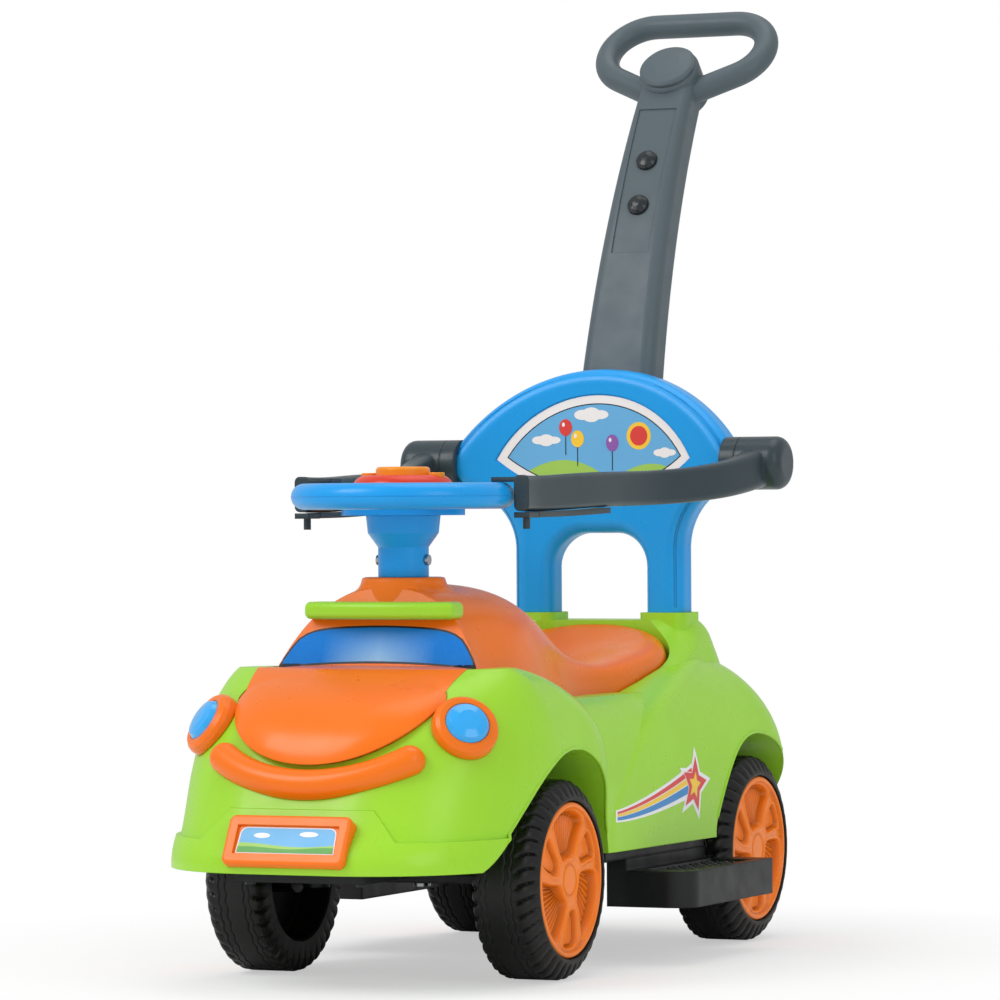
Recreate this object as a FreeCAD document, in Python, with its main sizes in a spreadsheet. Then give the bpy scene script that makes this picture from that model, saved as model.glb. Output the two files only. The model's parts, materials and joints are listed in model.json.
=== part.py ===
import FreeCAD, Part
import math
import operator
import os

import Sketcher
from FreeCAD import Placement, Rotation, Vector

# Push car with handle, in millimetres: it drives towards -Y, its left side is +X, the ground is Z = 0.

doc = FreeCAD.newDocument("push_car")
sheet = doc.addObject("Spreadsheet::Sheet", "Sizes")

SIZES = {
    # Fits
    "running_gap": 0.05,
    "fit_gap": 0.3,
    "wall": 3.0,
    # Wheels and axles
    "tyre_radius": 80.0,
    "tyre_width": 55.0,
    "tyre_shoulder": 9.0,
    "tyre_rim_radius": 54.0,
    "tyre_web": 11.0,
    "wheel_outer_x": 147.5,
    "front_axle_y": -209.0,
    "wheelbase": 410.0,
    "hub_radius": 16.0,
    "hub_recess": 4.0,
    "disc_radius": 62.5,
    "disc_seat_depth": 16.0,
    "disc_rim_width": 5.0,
    "disc_rim_inset": 1.0,
    "disc_face_inset": 4.0,
    "disc_pocket_depth": 5.0,
    "disc_pockets": 5.0,
    "disc_pocket_inner": 19.0,
    "disc_pocket_outer": 53.0,
    "disc_pocket_inner_width": 12.0,
    "disc_pocket_outer_width": 46.0,
    "disc_cap_radius": 15.0,
    "axle_radius": 5.0,
    "push_nut_radius": 9.5,
    "push_nut_thickness": 3.5,
    # Steering linkage
    "kingpin_x": 80.0,
    "kingpin_radius": 6.0,
    "knuckle_radius": 11.0,
    "kingpin_sleeve": 30.0,
    "washer_thickness": 3.0,
    "steering_arm": 32.0,
    "arm_thickness": 6.0,
    "arm_width": 14.0,
    "link_pin_radius": 4.0,
    "link_play": 0.6,
    "tie_bar_thickness": 7.5,
    "tie_bar_width": 18.0,
    "rod_radius": 6.0,
    "bush_wall": 3.0,
    "bush_flange": 4.0,
    "bush_flange_thickness": 2.0,
    # Underbody tray and footrests
    "tray_top": 95.0,
    "tray_thickness": 8.0,
    "tray_front_y": -402.0,
    "tray_rear_y": 282.0,
    "tray_nose_half": 56.0,
    "tray_waist_half": 131.0,
    "tray_waist_front_y": -104.0,
    "tray_waist_rear_y": 110.0,
    "tray_tail_half": 85.0,
    "tray_boss_height": 10.0,
    "axle_boss_width": 20.0,
    "axle_boss_half": 13.0,
    "axle_boss_drop": 14.0,
    "footrest_outer_x": 186.0,
    "footrest_inner_x": 112.0,
    "footrest_front_y": -57.0,
    "footrest_rear_y": 130.0,
    "footrest_top": 77.0,
    "footrest_height": 30.0,
    "footrest_corner": 22.0,
    "footrest_tread_inset": 9.0,
    "footrest_tread_depth": 2.0,
    "footrest_post_width": 18.0,
    # Body shell
    "body_bottom": 95.0,
    "body_half": 150.0,
    "waist_half": 139.0,
    "nose_y": -424.0,
    "fender_top": 252.0,
    "fender_rear_y": -78.0,
    "waist_top": 224.0,
    "deck_top": 279.0,
    "tail_y": 296.0,
    "nose_slope": 0.52,
    "nose_flat": 35.0,
    "fender_rear_flat": 82.0,
    "fender_front_round": 62.0,
    "fender_rear_round": 190.0,
    "fender_side_round": 40.0,
    "waist_front": 60.0,
    "waist_rear": 90.0,
    "waist_side_round": 54.0,
    "rear_fender_top": 254.0,
    "rear_fender_round": 96.0,
    "crease_step": 1.2,
    "crease_lead": 9.0,
    "crease_run": 335.0,
    "crease_round": 68.0,
    "deck_low": 205.0,
    "deck_half": 104.0,
    "deck_rear_y": 270.0,
    "deck_front_y": 180.0,
    "deck_slope": 213.0,
    "deck_round": 26.0,
    "arch_inner_x": 57.0,
    "arch_drop": 5.0,
    "front_arch_top": 184.0,
    "front_arch_front_y": -366.0,
    "front_arch_rear_y": -112.0,
    "rear_arch_radius": 92.0,
    "rear_arch_lift": 8.0,
    "band_height": 25.0,
    "band_peak": 49.0,
    "band_step": 3.0,
    "band_peak_half": 62.0,
    "band_foot_half": 84.0,
    "band_rear_y": -300.0,
    "post_radius": 7.0,
    "screw_radius": 2.0,
    "screw_head_radius": 4.2,
    "screw_head": 2.6,
    "screw_bite": 22.0,
    # Bonnet, cab and seat
    "bonnet_nose_y": -388.0,
    "bonnet_low": 172.0,
    "bonnet_rise": 79.0,
    "bonnet_half": 106.0,
    "bonnet_depth": 30.0,
    "egg_half": 94.0,
    "egg_height": 65.0,
    "egg_z": 243.0,
    "bonnet_rear_y": -262.0,
    "cab_low": 200.0,
    "cab_half": 95.0,
    "cab_roof": 316.0,
    "screen_low_y": -276.0,
    "screen_high_y": -240.0,
    "seat_half": 88.0,
    "seat_low": 243.0,
    "seat_rear_top": 274.0,
    "seat_rear_y": 184.0,
    "collar_radius": 33.4,
    "collar_top": 321.0,
    "collar_height": 10.0,
    "collar_edge": 3.6,
    # Front trim
    "visor_half": 66.0,
    "visor_low": 288.0,
    "visor_height": 14.0,
    "visor_front_y": -268.0,
    "visor_sweep": 10.0,
    "visor_depth": 34.0,
    "visor_round": 5.0,
    "bar_half": 80.0,
    "bar_end_z": 181.0,
    "bar_low_z": 162.0,
    "bar_radius": 12.5,
    "plate_half": 52.5,
    "plate_height": 42.0,
    "plate_centre_z": 119.0,
    "plate_thickness": 7.0,
    "plate_border": 9.0,
    "plate_recess": 2.5,
    "plate_round": 6.0,
    "lamp_x": 117.0,
    "lamp_y": -340.0,
    "lamp_z": 211.5,
    "lamp_radius": 26.5,
    "lamp_height": 9.0,
    "lamp_root": 12.0,
    "lens_radius": 17.5,
    "lens_height": 6.0,
    # Steering wheel and horn
    "rim_radius": 80.0,
    "rim_tube": 10.6,
    "rim_z": 386.5,
    "spoke_width": 26.0,
    "spoke_height": 13.0,
    "wheel_hub_radius": 50.0,
    "wheel_hub_low": 371.0,
    "wheel_hub_height": 20.0,
    "column_radius": 20.5,
    "column_flare": 30.2,
    "column_neck": 24.0,
    "column_flare_height": 11.5,
    "column_bore": 14.0,
    "column_screw_z": 335.0,
    "horn_radius": 41.0,
    "horn_height": 12.5,
    "horn_round": 11.0,
    "horn_well": 6.5,
    "horn_button_radius": 22.0,
    "horn_button_proud": 6.8,
    "tune_button_radius": 6.5,
    "tune_button_pitch": 30.0,
    "tune_button_proud": 2.0,
    "button_travel": 3.0,
    # Backrest
    "back_front_y": 191.0,
    "back_depth": 36.0,
    "back_split": 24.0,
    "back_curve": 361.0,
    "back_half": 137.0,
    "back_top": 498.0,
    "back_wide_z": 414.0,
    "back_side_radius": 22.0,
    "pillar_inner": 44.5,
    "pillar_outer": 80.0,
    "pillar_foot_z": 284.5,
    "pillar_neck_z": 340.0,
    "opening_top": 354.0,
    "opening_round": 30.0,
    "back_round": 12.0,
    "panel_half": 93.0,
    "panel_z": 419.0,
    "panel_top": 476.0,
    "panel_low": 384.0,
    "panel_recess": 1.2,
    "socket_margin": 4.0,
    "collar_round": 10.0,
    "peg_length": 14.0,
    "peg_inset": 8.0,
    # Guard arms
    "pivot_y": 184.0,
    "pivot_z": 414.0,
    "barrel_radius": 23.0,
    "bracket_inner_x": 126.0,
    "barrel_inner_x": 140.0,
    "barrel_outer_x": 181.0,
    "barrel_dome": 10.0,
    "pivot_pin_radius": 6.0,
    "pivot_pin_inner_x": 122.0,
    "pivot_pin_outer_x": 172.0,
    "guard_height": 29.0,
    "guard_thickness": 13.0,
    "guard_front_lag": 14.0,
    "guard_rim_gap": 1.2,
    "guard_front_rise": 2.0,
    "tab_reach": 20.0,
    "tab_thickness": 4.0,
    "tab_length": 20.0,
    "latch_thickness": 4.5,
    "latch_length": 20.0,
    "latch_peg_radius": 3.0,
    "latch_peg": 9.0,
    # Push handle
    "pole_width": 71.0,
    "pole_top_width": 51.0,
    "pole_depth": 38.0,
    "pole_round": 11.0,
    "pole_foot_y": 247.5,
    "pole_foot_z": 485.3,
    "pole_root": 20.0,
    "pole_start_lean": 13.1,
    "pole_end_lean": 34.5,
    "loop_lean": 43.5,
    "pole_arc_radius": 860.0,
    "tang_width": 46.0,
    "tang_depth": 24.0,
    "tang_length": 96.0,
    "socket_wall": 5.0,
    "loop_tube": 11.0,
    "loop_half": 88.0,
    "loop_heel": 15.0,
    "loop_corner": 38.0,
    "loop_reach": 96.5,
    "loop_side_angle": 60.0,
    "cap_radius": 26.0,
    "cap_height": 6.0,
    "cap_rise": 4.0,
    "panel_width": 36.0,
    "panel_start": 138.0,
    "panel_length": 146.0,
    "pole_panel_recess": 1.2,
    "stud_radius": 10.0,
    "stud_height": 6.0,
    "stud_low": 184.5,
    "stud_pitch": 45.0,
}

for row, (name, value) in enumerate(SIZES.items(), start=1):
    sheet.set(f"A{row}", name)
    sheet.set(f"B{row}", str(value))
    sheet.setAlias(f"B{row}", name)
doc.recompute()

OPERATIONS = {"+": operator.add, "-": operator.sub, "*": operator.mul, "/": operator.truediv}


class Dim:
    """A size with the spreadsheet expression that gives it."""

    def __init__(self, value, text):
        self.value = float(value)
        self.text = text

    def __float__(self):
        return self.value

    def __add__(self, other):
        return joined(self, "+", other)

    def __radd__(self, other):
        return joined(other, "+", self)

    def __sub__(self, other):
        return joined(self, "-", other)

    def __rsub__(self, other):
        return joined(other, "-", self)

    def __mul__(self, other):
        return joined(self, "*", other)

    def __rmul__(self, other):
        return joined(other, "*", self)

    def __truediv__(self, other):
        return joined(self, "/", other)

    def __neg__(self):
        return joined(0, "-", self)


def dim(number):
    if isinstance(number, Dim):
        return number
    return Dim(number, repr(float(number)))


def joined(left, sign, right):
    left = dim(left)
    right = dim(right)
    return Dim(OPERATIONS[sign](left.value, right.value), f"({left.text} {sign} {right.text})")


class Cells:
    """Named access to the cells of the sheet."""

    def __getattr__(self, name):
        return Dim(getattr(sheet, name), "Sizes." + name)


S = Cells()

parts = []


def keep(obj, label):
    """Name a finished sub-part and list it for writing."""
    obj.Label = label
    parts.append(obj)
    return obj


def bind(obj, prop, size):
    obj.setExpression(prop, dim(size).text)


def place(obj, at, rotation=None):
    if rotation is not None:
        obj.Placement = Placement(Vector(0, 0, 0), rotation)
    for axis, size in zip("xyz", at):
        bind(obj, "Placement.Base." + axis, size)


def feature(label, shape):
    """A sub-part whose form comes from lofts, sweeps or cuts that are worked out here."""
    obj = doc.addObject("Part::Feature", label)
    obj.Shape = shape
    obj.Placement = Placement()
    return keep(obj, label)


TURN = {
    "z": Rotation(),
    "x": Rotation(Vector(0, 1, 0), 90),
    "-x": Rotation(Vector(0, 1, 0), -90),
    "y": Rotation(Vector(1, 0, 0), -90),
    "-y": Rotation(Vector(1, 0, 0), 90),
}


def cylinder(radius, height, at, along="z"):
    obj = doc.addObject("Part::Cylinder", "cylinder")
    bind(obj, "Radius", radius)
    bind(obj, "Height", height)
    place(obj, at, TURN[along])
    return obj


def block(low, high):
    obj = doc.addObject("Part::Box", "block")
    for prop, start, end in zip(("Length", "Width", "Height"), low, high):
        bind(obj, prop, end - start)
    place(obj, low)
    return obj


def fused(tools, label="fused"):
    obj = doc.addObject("Part::MultiFuse", label)
    obj.Shapes = tools
    return obj


def cut(base, tools, label="cut"):
    obj = doc.addObject("Part::Cut", label)
    obj.Base = base
    obj.Tool = tools[0] if len(tools) == 1 else fused(tools)
    return obj


def origin_part(body, role):
    return next(item for item in body.Origin.OriginFeatures if item.Role == role)


def sketch_on(body, role, offset=0):
    sketch = body.newObject("Sketcher::SketchObject", body.Name + "_sketch")
    sketch.AttachmentSupport = [(origin_part(body, role), "")]
    sketch.MapMode = "FlatFace"
    bind(sketch, "AttachmentOffset.Base.z", offset)
    return sketch


def hold(sketch, kind, edge, point, size):
    number = sketch.addConstraint(Sketcher.Constraint(kind, -1, 1, edge, point, float(size)))
    sketch.setExpression(f"Constraints[{number}]", dim(size).text)


def draw_outline(sketch, corners):
    """Closed outline of straight lines with each corner at a bound place."""
    count = len(corners)
    points = [Vector(float(u), float(v), 0) for u, v in corners]
    first = sketch.GeometryCount
    lines = [Part.LineSegment(points[i], points[(i + 1) % count]) for i in range(count)]
    sketch.addGeometry(lines, False)
    for i in range(count):
        following = first + (i + 1) % count
        sketch.addConstraint(Sketcher.Constraint("Coincident", first + i, 2, following, 1))
    for i, (u, v) in enumerate(corners):
        hold(sketch, "DistanceX", first + i, 1, u)
        hold(sketch, "DistanceY", first + i, 1, v)


def draw_circle(sketch, radius, u=0, v=0):
    number = sketch.GeometryCount
    centre = Vector(float(dim(u)), float(dim(v)), 0)
    sketch.addGeometry(Part.Circle(centre, Vector(0, 0, 1), float(dim(radius))), False)
    hold(sketch, "DistanceX", number, 3, dim(u))
    hold(sketch, "DistanceY", number, 3, dim(v))
    constraint = sketch.addConstraint(Sketcher.Constraint("Radius", number, float(dim(radius))))
    sketch.setExpression(f"Constraints[{constraint}]", dim(radius).text)


def rectangle(low, high):
    return [(low[0], low[1]), (high[0], low[1]), (high[0], high[1]), (low[0], high[1])]


def new_body(label):
    return doc.addObject("PartDesign::Body", label)


def revolved(body, profile):
    """Revolve a profile of (radius, height) corners about the body's own Z axis."""
    sketch = sketch_on(body, "XZ_Plane")
    draw_outline(sketch, profile)
    turn = body.newObject("PartDesign::Revolution", body.Name + "_turn")
    turn.Profile = sketch
    turn.ReferenceAxis = (sketch, ["V_Axis"])
    turn.Angle = 360
    doc.recompute()
    return turn


def padded(body, corners, low, high):
    """Pad an outline of the XY plane from one height to another."""
    sketch = sketch_on(body, "XY_Plane", low)
    draw_outline(sketch, corners)
    pad = body.newObject("PartDesign::Pad", body.Name + "_pad")
    pad.Profile = sketch
    bind(pad, "Length", high - low)
    doc.recompute()
    return pad


def pocketed(body, sketch, depth):
    """Cut a sketch's outline downwards, against the sketch's own normal."""
    before = body.Shape.Volume
    pocket = body.newObject("PartDesign::Pocket", body.Name + "_pocket")
    pocket.Profile = sketch
    bind(pocket, "Length", depth)
    doc.recompute()
    if body.Shape.Volume > before - 1e-6:
        raise RuntimeError(f"{body.Name}: a pocket cut nothing")
    return pocket


def rounded(body, radius, wanted):
    """Fillet the edges of the body's tip for which wanted(edge) is true."""
    tip = body.Tip
    names = [f"Edge{i}" for i, edge in enumerate(tip.Shape.Edges, start=1) if wanted(edge)]
    fillet = body.newObject("PartDesign::Fillet", body.Name + "_fillet")
    fillet.Base = (tip, names)
    bind(fillet, "Radius", radius)
    doc.recompute()
    return fillet


def is_circle(edge, radius, height=None):
    if not isinstance(edge.Curve, Part.Circle):
        return False
    if abs(edge.Curve.Radius - float(radius)) > 0.01:
        return False
    return height is None or abs(edge.Curve.Center.z - float(height)) < 0.01


def is_upright(edge):
    ends = [vertex.Point for vertex in edge.Vertexes]
    return len(ends) == 2 and abs(ends[0].x - ends[1].x) + abs(ends[0].y - ends[1].y) < 0.01


def lies_at(edge, height):
    return all(abs(vertex.Point.z - float(height)) < 0.01 for vertex in edge.Vertexes)


def vec(x, y, z):
    return Vector(float(x), float(y), float(z))


def bezier(*points):
    curve = Part.BezierCurve()
    curve.setPoles([vec(*point) for point in points])
    return curve.toShape()


def segment(start, end):
    return Part.makeLine(vec(*start), vec(*end))


def solid_loft(wires):
    return Part.makeLoft(wires, True, False)


def largest(shape):
    """The main solid of a cut."""
    return max(shape.Solids, key=lambda solid: solid.Volume)


def mirror_x(shape):
    return shape.mirror(Vector(0, 0, 0), Vector(1, 0, 0))


SIDES = (("left", 1), ("right", -1))

rear_axle_y = S.front_axle_y + S.wheelbase
axle_z = S.tyre_radius
wheel_inner_x = S.wheel_outer_x - S.tyre_width
hub_inner_x = wheel_inner_x + S.hub_recess
disc_seat = S.tyre_width - S.disc_seat_depth
bore_radius = S.axle_radius + S.running_gap
nut_low = disc_seat + S.fit_gap
axle_end_x = wheel_inner_x + nut_low + S.push_nut_thickness + S.wall / 2
tray_bottom = S.tray_top - S.tray_thickness


# Wheels

def make_tyre(label, side, axle_y):
    """Hollow moulded tyre with its hub; its own Z axis points out of the car."""
    body = new_body(label)
    seat = S.disc_radius + S.fit_gap
    web_low = disc_seat - S.tyre_web
    revolved(body, [
        (bore_radius, S.hub_recess),
        (S.hub_radius, S.hub_recess),
        (S.hub_radius, web_low),
        (S.tyre_rim_radius, web_low),
        (S.tyre_rim_radius, 0),
        (S.tyre_radius, 0),
        (S.tyre_radius, S.tyre_width),
        (seat, S.tyre_width),
        (seat, disc_seat),
        (bore_radius, disc_seat),
    ])
    rounded(body, S.tyre_shoulder, lambda edge: is_circle(edge, S.tyre_radius))
    place(body, (wheel_inner_x * side, axle_y, axle_z), TURN["x" if side > 0 else "-x"])
    keep(body, label)


def make_disc(label, side, axle_y):
    """Pressed-in wheel disc with a raised rim, sunk panels between its spokes and a closed middle."""
    body = new_body(label)
    face = S.tyre_width - S.disc_face_inset
    top = S.tyre_width - S.disc_rim_inset
    nut_room = S.push_nut_radius + S.fit_gap * 3
    nut_roof = nut_low + S.push_nut_thickness + S.wall
    rim_foot = S.disc_radius - S.disc_rim_width
    revolved(body, [
        (0, nut_roof),
        (nut_room, nut_roof),
        (nut_room, disc_seat),
        (S.disc_radius, disc_seat),
        (S.disc_radius, top),
        (rim_foot, top),
        (rim_foot, face),
        (S.disc_cap_radius, face),
        (S.disc_cap_radius, top),
        (0, top),
    ])
    sketch = sketch_on(body, "XY_Plane", face)
    draw_outline(sketch, [
        (S.disc_pocket_inner, -S.disc_pocket_inner_width / 2),
        (S.disc_pocket_outer, -S.disc_pocket_outer_width / 2),
        (S.disc_pocket_outer, S.disc_pocket_outer_width / 2),
        (S.disc_pocket_inner, S.disc_pocket_inner_width / 2),
    ])
    pocket = pocketed(body, sketch, S.disc_pocket_depth)
    pattern = body.newObject("PartDesign::PolarPattern", label + "_pattern")
    pattern.Originals = [pocket]
    pattern.Axis = (origin_part(body, "Z_Axis"), [""])
    pattern.Angle = 360
    bind(pattern, "Occurrences", S.disc_pockets)
    body.Tip = pattern
    place(body, (wheel_inner_x * side, axle_y, axle_z), TURN["x" if side > 0 else "-x"])
    keep(body, label)


for end, axle_y in (("front", S.front_axle_y), ("rear", rear_axle_y)):
    for hand, side in SIDES:
        make_tyre(f"tyre_{end}_{hand}", side, axle_y)
        make_disc(f"wheel_disc_{end}_{hand}", side, axle_y)

keep(cylinder(S.axle_radius, axle_end_x * 2, (-axle_end_x, rear_axle_y, axle_z), "x"), "rear_axle")


def push_nut(side, axle_y):
    start = (wheel_inner_x + nut_low) * side
    along = "x" if side > 0 else "-x"
    at = (start, axle_y, axle_z)
    ring = cylinder(S.push_nut_radius, S.push_nut_thickness, at, along)
    hole = cylinder(S.axle_radius + S.running_gap, S.push_nut_thickness, at, along)
    return cut(ring, [hole], "push_nut")


nuts = doc.addObject("Part::Compound", "axle_push_nuts")
nuts.Links = [push_nut(side, rear_axle_y) for hand, side in SIDES]
keep(nuts, "axle_push_nuts")
for hand, side in SIDES:
    keep(push_nut(side, S.front_axle_y), f"stub_push_nut_{hand}")


# Steering linkage below the tray

arm_top = tray_bottom - S.link_play
arm_low = arm_top - S.arm_thickness
bar_top = arm_low - S.fit_gap
bar_low = bar_top - S.tie_bar_thickness
link_y = S.front_axle_y + S.steering_arm
pin_foot = bar_low - S.fit_gap - S.arm_thickness / 2
sleeve_low = S.tray_top
sleeve_top = sleeve_low + S.kingpin_sleeve
washer_low = sleeve_top + S.fit_gap


def link_arm(x):
    """Flat steering arm with a round end and a headed pin that hangs into the tie bar's slot."""
    half = S.arm_width / 2
    return [
        block((x - half, S.front_axle_y, arm_low), (x + half, link_y, arm_top)),
        cylinder(half, S.arm_thickness, (x, link_y, arm_low)),
        cylinder(S.link_pin_radius, arm_low - pin_foot, (x, link_y, pin_foot)),
        cylinder(half, S.arm_thickness / 2, (x, link_y, pin_foot)),
    ]


for hand, side in SIDES:
    x = S.kingpin_x * side
    along = "x" if side > 0 else "-x"
    knuckle_low = axle_z - S.knuckle_radius
    shoulder = hub_inner_x - S.kingpin_x - S.fit_gap
    knuckle = fused([
        cylinder(S.knuckle_radius, sleeve_low - S.fit_gap - knuckle_low,
                 (x, S.front_axle_y, knuckle_low)),
        cylinder(S.kingpin_radius, washer_low + S.washer_thickness + S.fit_gap - knuckle_low,
                 (x, S.front_axle_y, knuckle_low)),
        cylinder(S.axle_radius, axle_end_x - S.kingpin_x, (x, S.front_axle_y, axle_z), along),
        cylinder(S.push_nut_radius, shoulder, (x, S.front_axle_y, axle_z), along),
        *link_arm(x),
    ], f"knuckle_{hand}")
    keep(knuckle, f"knuckle_{hand}")
    washer = cylinder(S.knuckle_radius, S.washer_thickness, (x, S.front_axle_y, washer_low))
    hole = cylinder(S.kingpin_radius + S.running_gap, S.washer_thickness, (x, S.front_axle_y, washer_low))
    keep(cut(washer, [hole], f"kingpin_washer_{hand}"), f"kingpin_washer_{hand}")

slot_half = S.link_pin_radius + S.link_play
slot_run = S.link_play * 4


def link_slot(x):
    return [
        cylinder(slot_half, S.tie_bar_thickness, (x, link_y, bar_low)),
        cylinder(slot_half, S.tie_bar_thickness, (x, link_y - slot_run, bar_low)),
        block((x - slot_half, link_y - slot_run, bar_low), (x + slot_half, link_y, bar_top)),
    ]


bar_half = S.kingpin_x + S.tie_bar_width / 2
bar_y = link_y - slot_run / 2
tie_bar = cut(
    block((-bar_half, bar_y - S.tie_bar_width / 2, bar_low), (bar_half, bar_y + S.tie_bar_width / 2, bar_top)),
    link_slot(-S.kingpin_x) + link_slot(dim(0)) + link_slot(S.kingpin_x),
    "tie_bar",
)
keep(tie_bar, "tie_bar")

hub_top = S.wheel_hub_low + S.wheel_hub_height
rod_top = hub_top - S.wall
rod = fused(
    [cylinder(S.rod_radius, rod_top - arm_low, (0, S.front_axle_y, arm_low))] + link_arm(dim(0)),
    "steering_rod",
)
keep(rod, "steering_rod")

bush_outer = S.rod_radius + S.running_gap + S.bush_wall
tray_boss_top = S.tray_top + S.tray_boss_height


def make_bush(label, low, seat):
    """Plain bush with a flange on top of its seat."""
    body = new_body(label)
    flange = bush_outer + S.bush_flange
    top = seat + S.bush_flange_thickness
    bore = S.rod_radius + S.running_gap
    revolved(body, [(bore, low), (bush_outer, low), (bush_outer, seat), (flange, seat), (flange, top), (bore, top)])
    place(body, (0, S.front_axle_y, 0))
    keep(body, label)


make_bush("tray_bush", tray_bottom, tray_boss_top)
flange_seat = S.collar_top - S.bush_flange_thickness
make_bush("column_bush", S.collar_top - S.collar_height, flange_seat)


# Underbody tray

shell_posts = [
    (48, -390),
    (116, -72),
    (104, 62),
    (46, 262),
]
top_posts = [
    (46, -150),
    (46, 60),
]
post_places = [(x * side, y) for x, y in shell_posts + top_posts for hand, side in SIDES]


def make_tray():
    body = new_body("tray_plate")
    right = [
        (S.tray_nose_half, S.tray_front_y),
        (S.tray_nose_half, S.tray_waist_front_y),
        (S.tray_waist_half, S.tray_waist_front_y),
        (S.tray_waist_half, S.tray_waist_rear_y),
        (S.tray_tail_half, S.tray_waist_rear_y),
        (S.tray_tail_half, S.tray_rear_y),
    ]
    padded(body, right + [(-x, y) for x, y in reversed(right)], tray_bottom, S.tray_top)
    ears = [block((-S.kingpin_x, S.front_axle_y - S.knuckle_radius, S.tray_top),
                  (S.kingpin_x, S.front_axle_y + S.knuckle_radius, S.tray_top + S.tray_thickness))]
    boss_outer = hub_inner_x - S.fit_gap
    for hand, side in SIDES:
        ears.append(cylinder(S.knuckle_radius, S.kingpin_sleeve, (S.kingpin_x * side, S.front_axle_y, S.tray_top)))
        boss_ends = sorted((boss_outer * side, (boss_outer - S.axle_boss_width) * side), key=float)
        ears.append(block((boss_ends[0], rear_axle_y - S.axle_boss_half, axle_z - S.axle_boss_drop),
                          (boss_ends[1], rear_axle_y + S.axle_boss_half, tray_bottom)))
    ears.append(cylinder(bush_outer + S.bush_flange, S.tray_boss_height, (0, S.front_axle_y, S.tray_top)))
    whole = fused([body] + ears)
    holes = [
        cylinder(bush_outer + S.running_gap, tray_boss_top - tray_bottom, (0, S.front_axle_y, tray_bottom)),
        cylinder(S.axle_radius + S.running_gap, axle_end_x * 2, (-axle_end_x, rear_axle_y, axle_z), "x"),
    ]
    for hand, side in SIDES:
        holes.append(cylinder(S.kingpin_radius + S.running_gap, S.kingpin_sleeve,
                              (S.kingpin_x * side, S.front_axle_y, S.tray_top)))
    for x, y in post_places:
        holes.append(cylinder(S.screw_radius + S.running_gap, S.tray_thickness, (x, y, tray_bottom)))
    keep(cut(whole, holes, "tray"), "base_tray")


make_tray()


def make_footrest(hand, side):
    """Ledge with a sunk tread panel; its rear inner corner clears the rear tyre."""
    body = new_body("footrest_" + hand)
    low = S.footrest_top - S.footrest_height
    notch_x = S.wheel_outer_x + S.fit_gap * 10
    notch_y = rear_axle_y - S.tyre_radius - S.fit_gap * 20
    corners = [
        (S.footrest_inner_x, S.footrest_front_y),
        (S.footrest_outer_x, S.footrest_front_y),
        (S.footrest_outer_x, S.footrest_rear_y),
        (notch_x, S.footrest_rear_y),
        (notch_x, notch_y),
        (S.footrest_inner_x, notch_y),
    ]
    padded(body, [(x * side, y) for x, y in corners], low, S.footrest_top)
    outer_front = S.footrest_outer_x * side

    def front_corner(edge):
        point = edge.Vertexes[0].Point
        return is_upright(edge) and math.hypot(point.x - float(outer_front),
                                               point.y - float(S.footrest_front_y)) < 0.01

    rounded(body, S.footrest_corner, front_corner)
    inset = S.footrest_tread_inset
    tread_inner = S.footrest_inner_x + S.footrest_post_width + inset
    ends = sorted((tread_inner * side, (S.footrest_outer_x - inset) * side), key=float)
    sketch = sketch_on(body, "XY_Plane", S.footrest_top)
    draw_outline(sketch, rectangle((ends[0], S.footrest_front_y + S.footrest_corner),
                                   (ends[1], notch_y - inset)))
    pocketed(body, sketch, S.footrest_tread_depth)
    ends = sorted((S.footrest_inner_x * side, (S.footrest_inner_x + S.footrest_post_width) * side), key=float)
    padded(body, rectangle((ends[0], S.footrest_front_y), (ends[1], notch_y)), S.footrest_top, tray_bottom)
    keep(body, "footrest_" + hand)


for hand, side in SIDES:
    make_footrest(hand, side)


# Body shell: four hulls lofted upwards through plan outlines

def plan_outline(z, front, rear, half_front, half_rear, flat_front, flat_rear, bow):
    """Plan outline at one height: flat ends, bowed corners and straight sides."""
    longest = (rear - front) * 0.45
    front_side = front + min((half_front - flat_front) * bow, longest)
    rear_side = rear - min((half_rear - flat_rear) * bow, longest)
    ease = 0.6
    front_x = flat_front + (half_front - flat_front) * ease
    front_y = front_side - (front_side - front) * ease
    rear_x = flat_rear + (half_rear - flat_rear) * ease
    rear_y = rear_side + (rear - rear_side) * ease
    edges = [
        segment((-flat_front, front, z), (flat_front, front, z)),
        bezier((flat_front, front, z), (front_x, front, z), (half_front, front_y, z), (half_front, front_side, z)),
        segment((half_front, front_side, z), (half_rear, rear_side, z)),
        bezier((half_rear, rear_side, z), (half_rear, rear_y, z), (rear_x, rear, z), (flat_rear, rear, z)),
        segment((flat_rear, rear, z), (-flat_rear, rear, z)),
        bezier((-flat_rear, rear, z), (-rear_x, rear, z), (-half_rear, rear_y, z), (-half_rear, rear_side, z)),
        segment((-half_rear, rear_side, z), (-half_front, front_side, z)),
        bezier((-half_front, front_side, z), (-half_front, front_y, z), (-front_x, front, z),
               (-flat_front, front, z)),
    ]
    return Part.Wire(edges)


def round_over(share, power):
    """How far a rounded edge has drawn in at a share of its height."""
    return 1.0 - (1.0 - share ** power) ** (1.0 / power)


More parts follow.
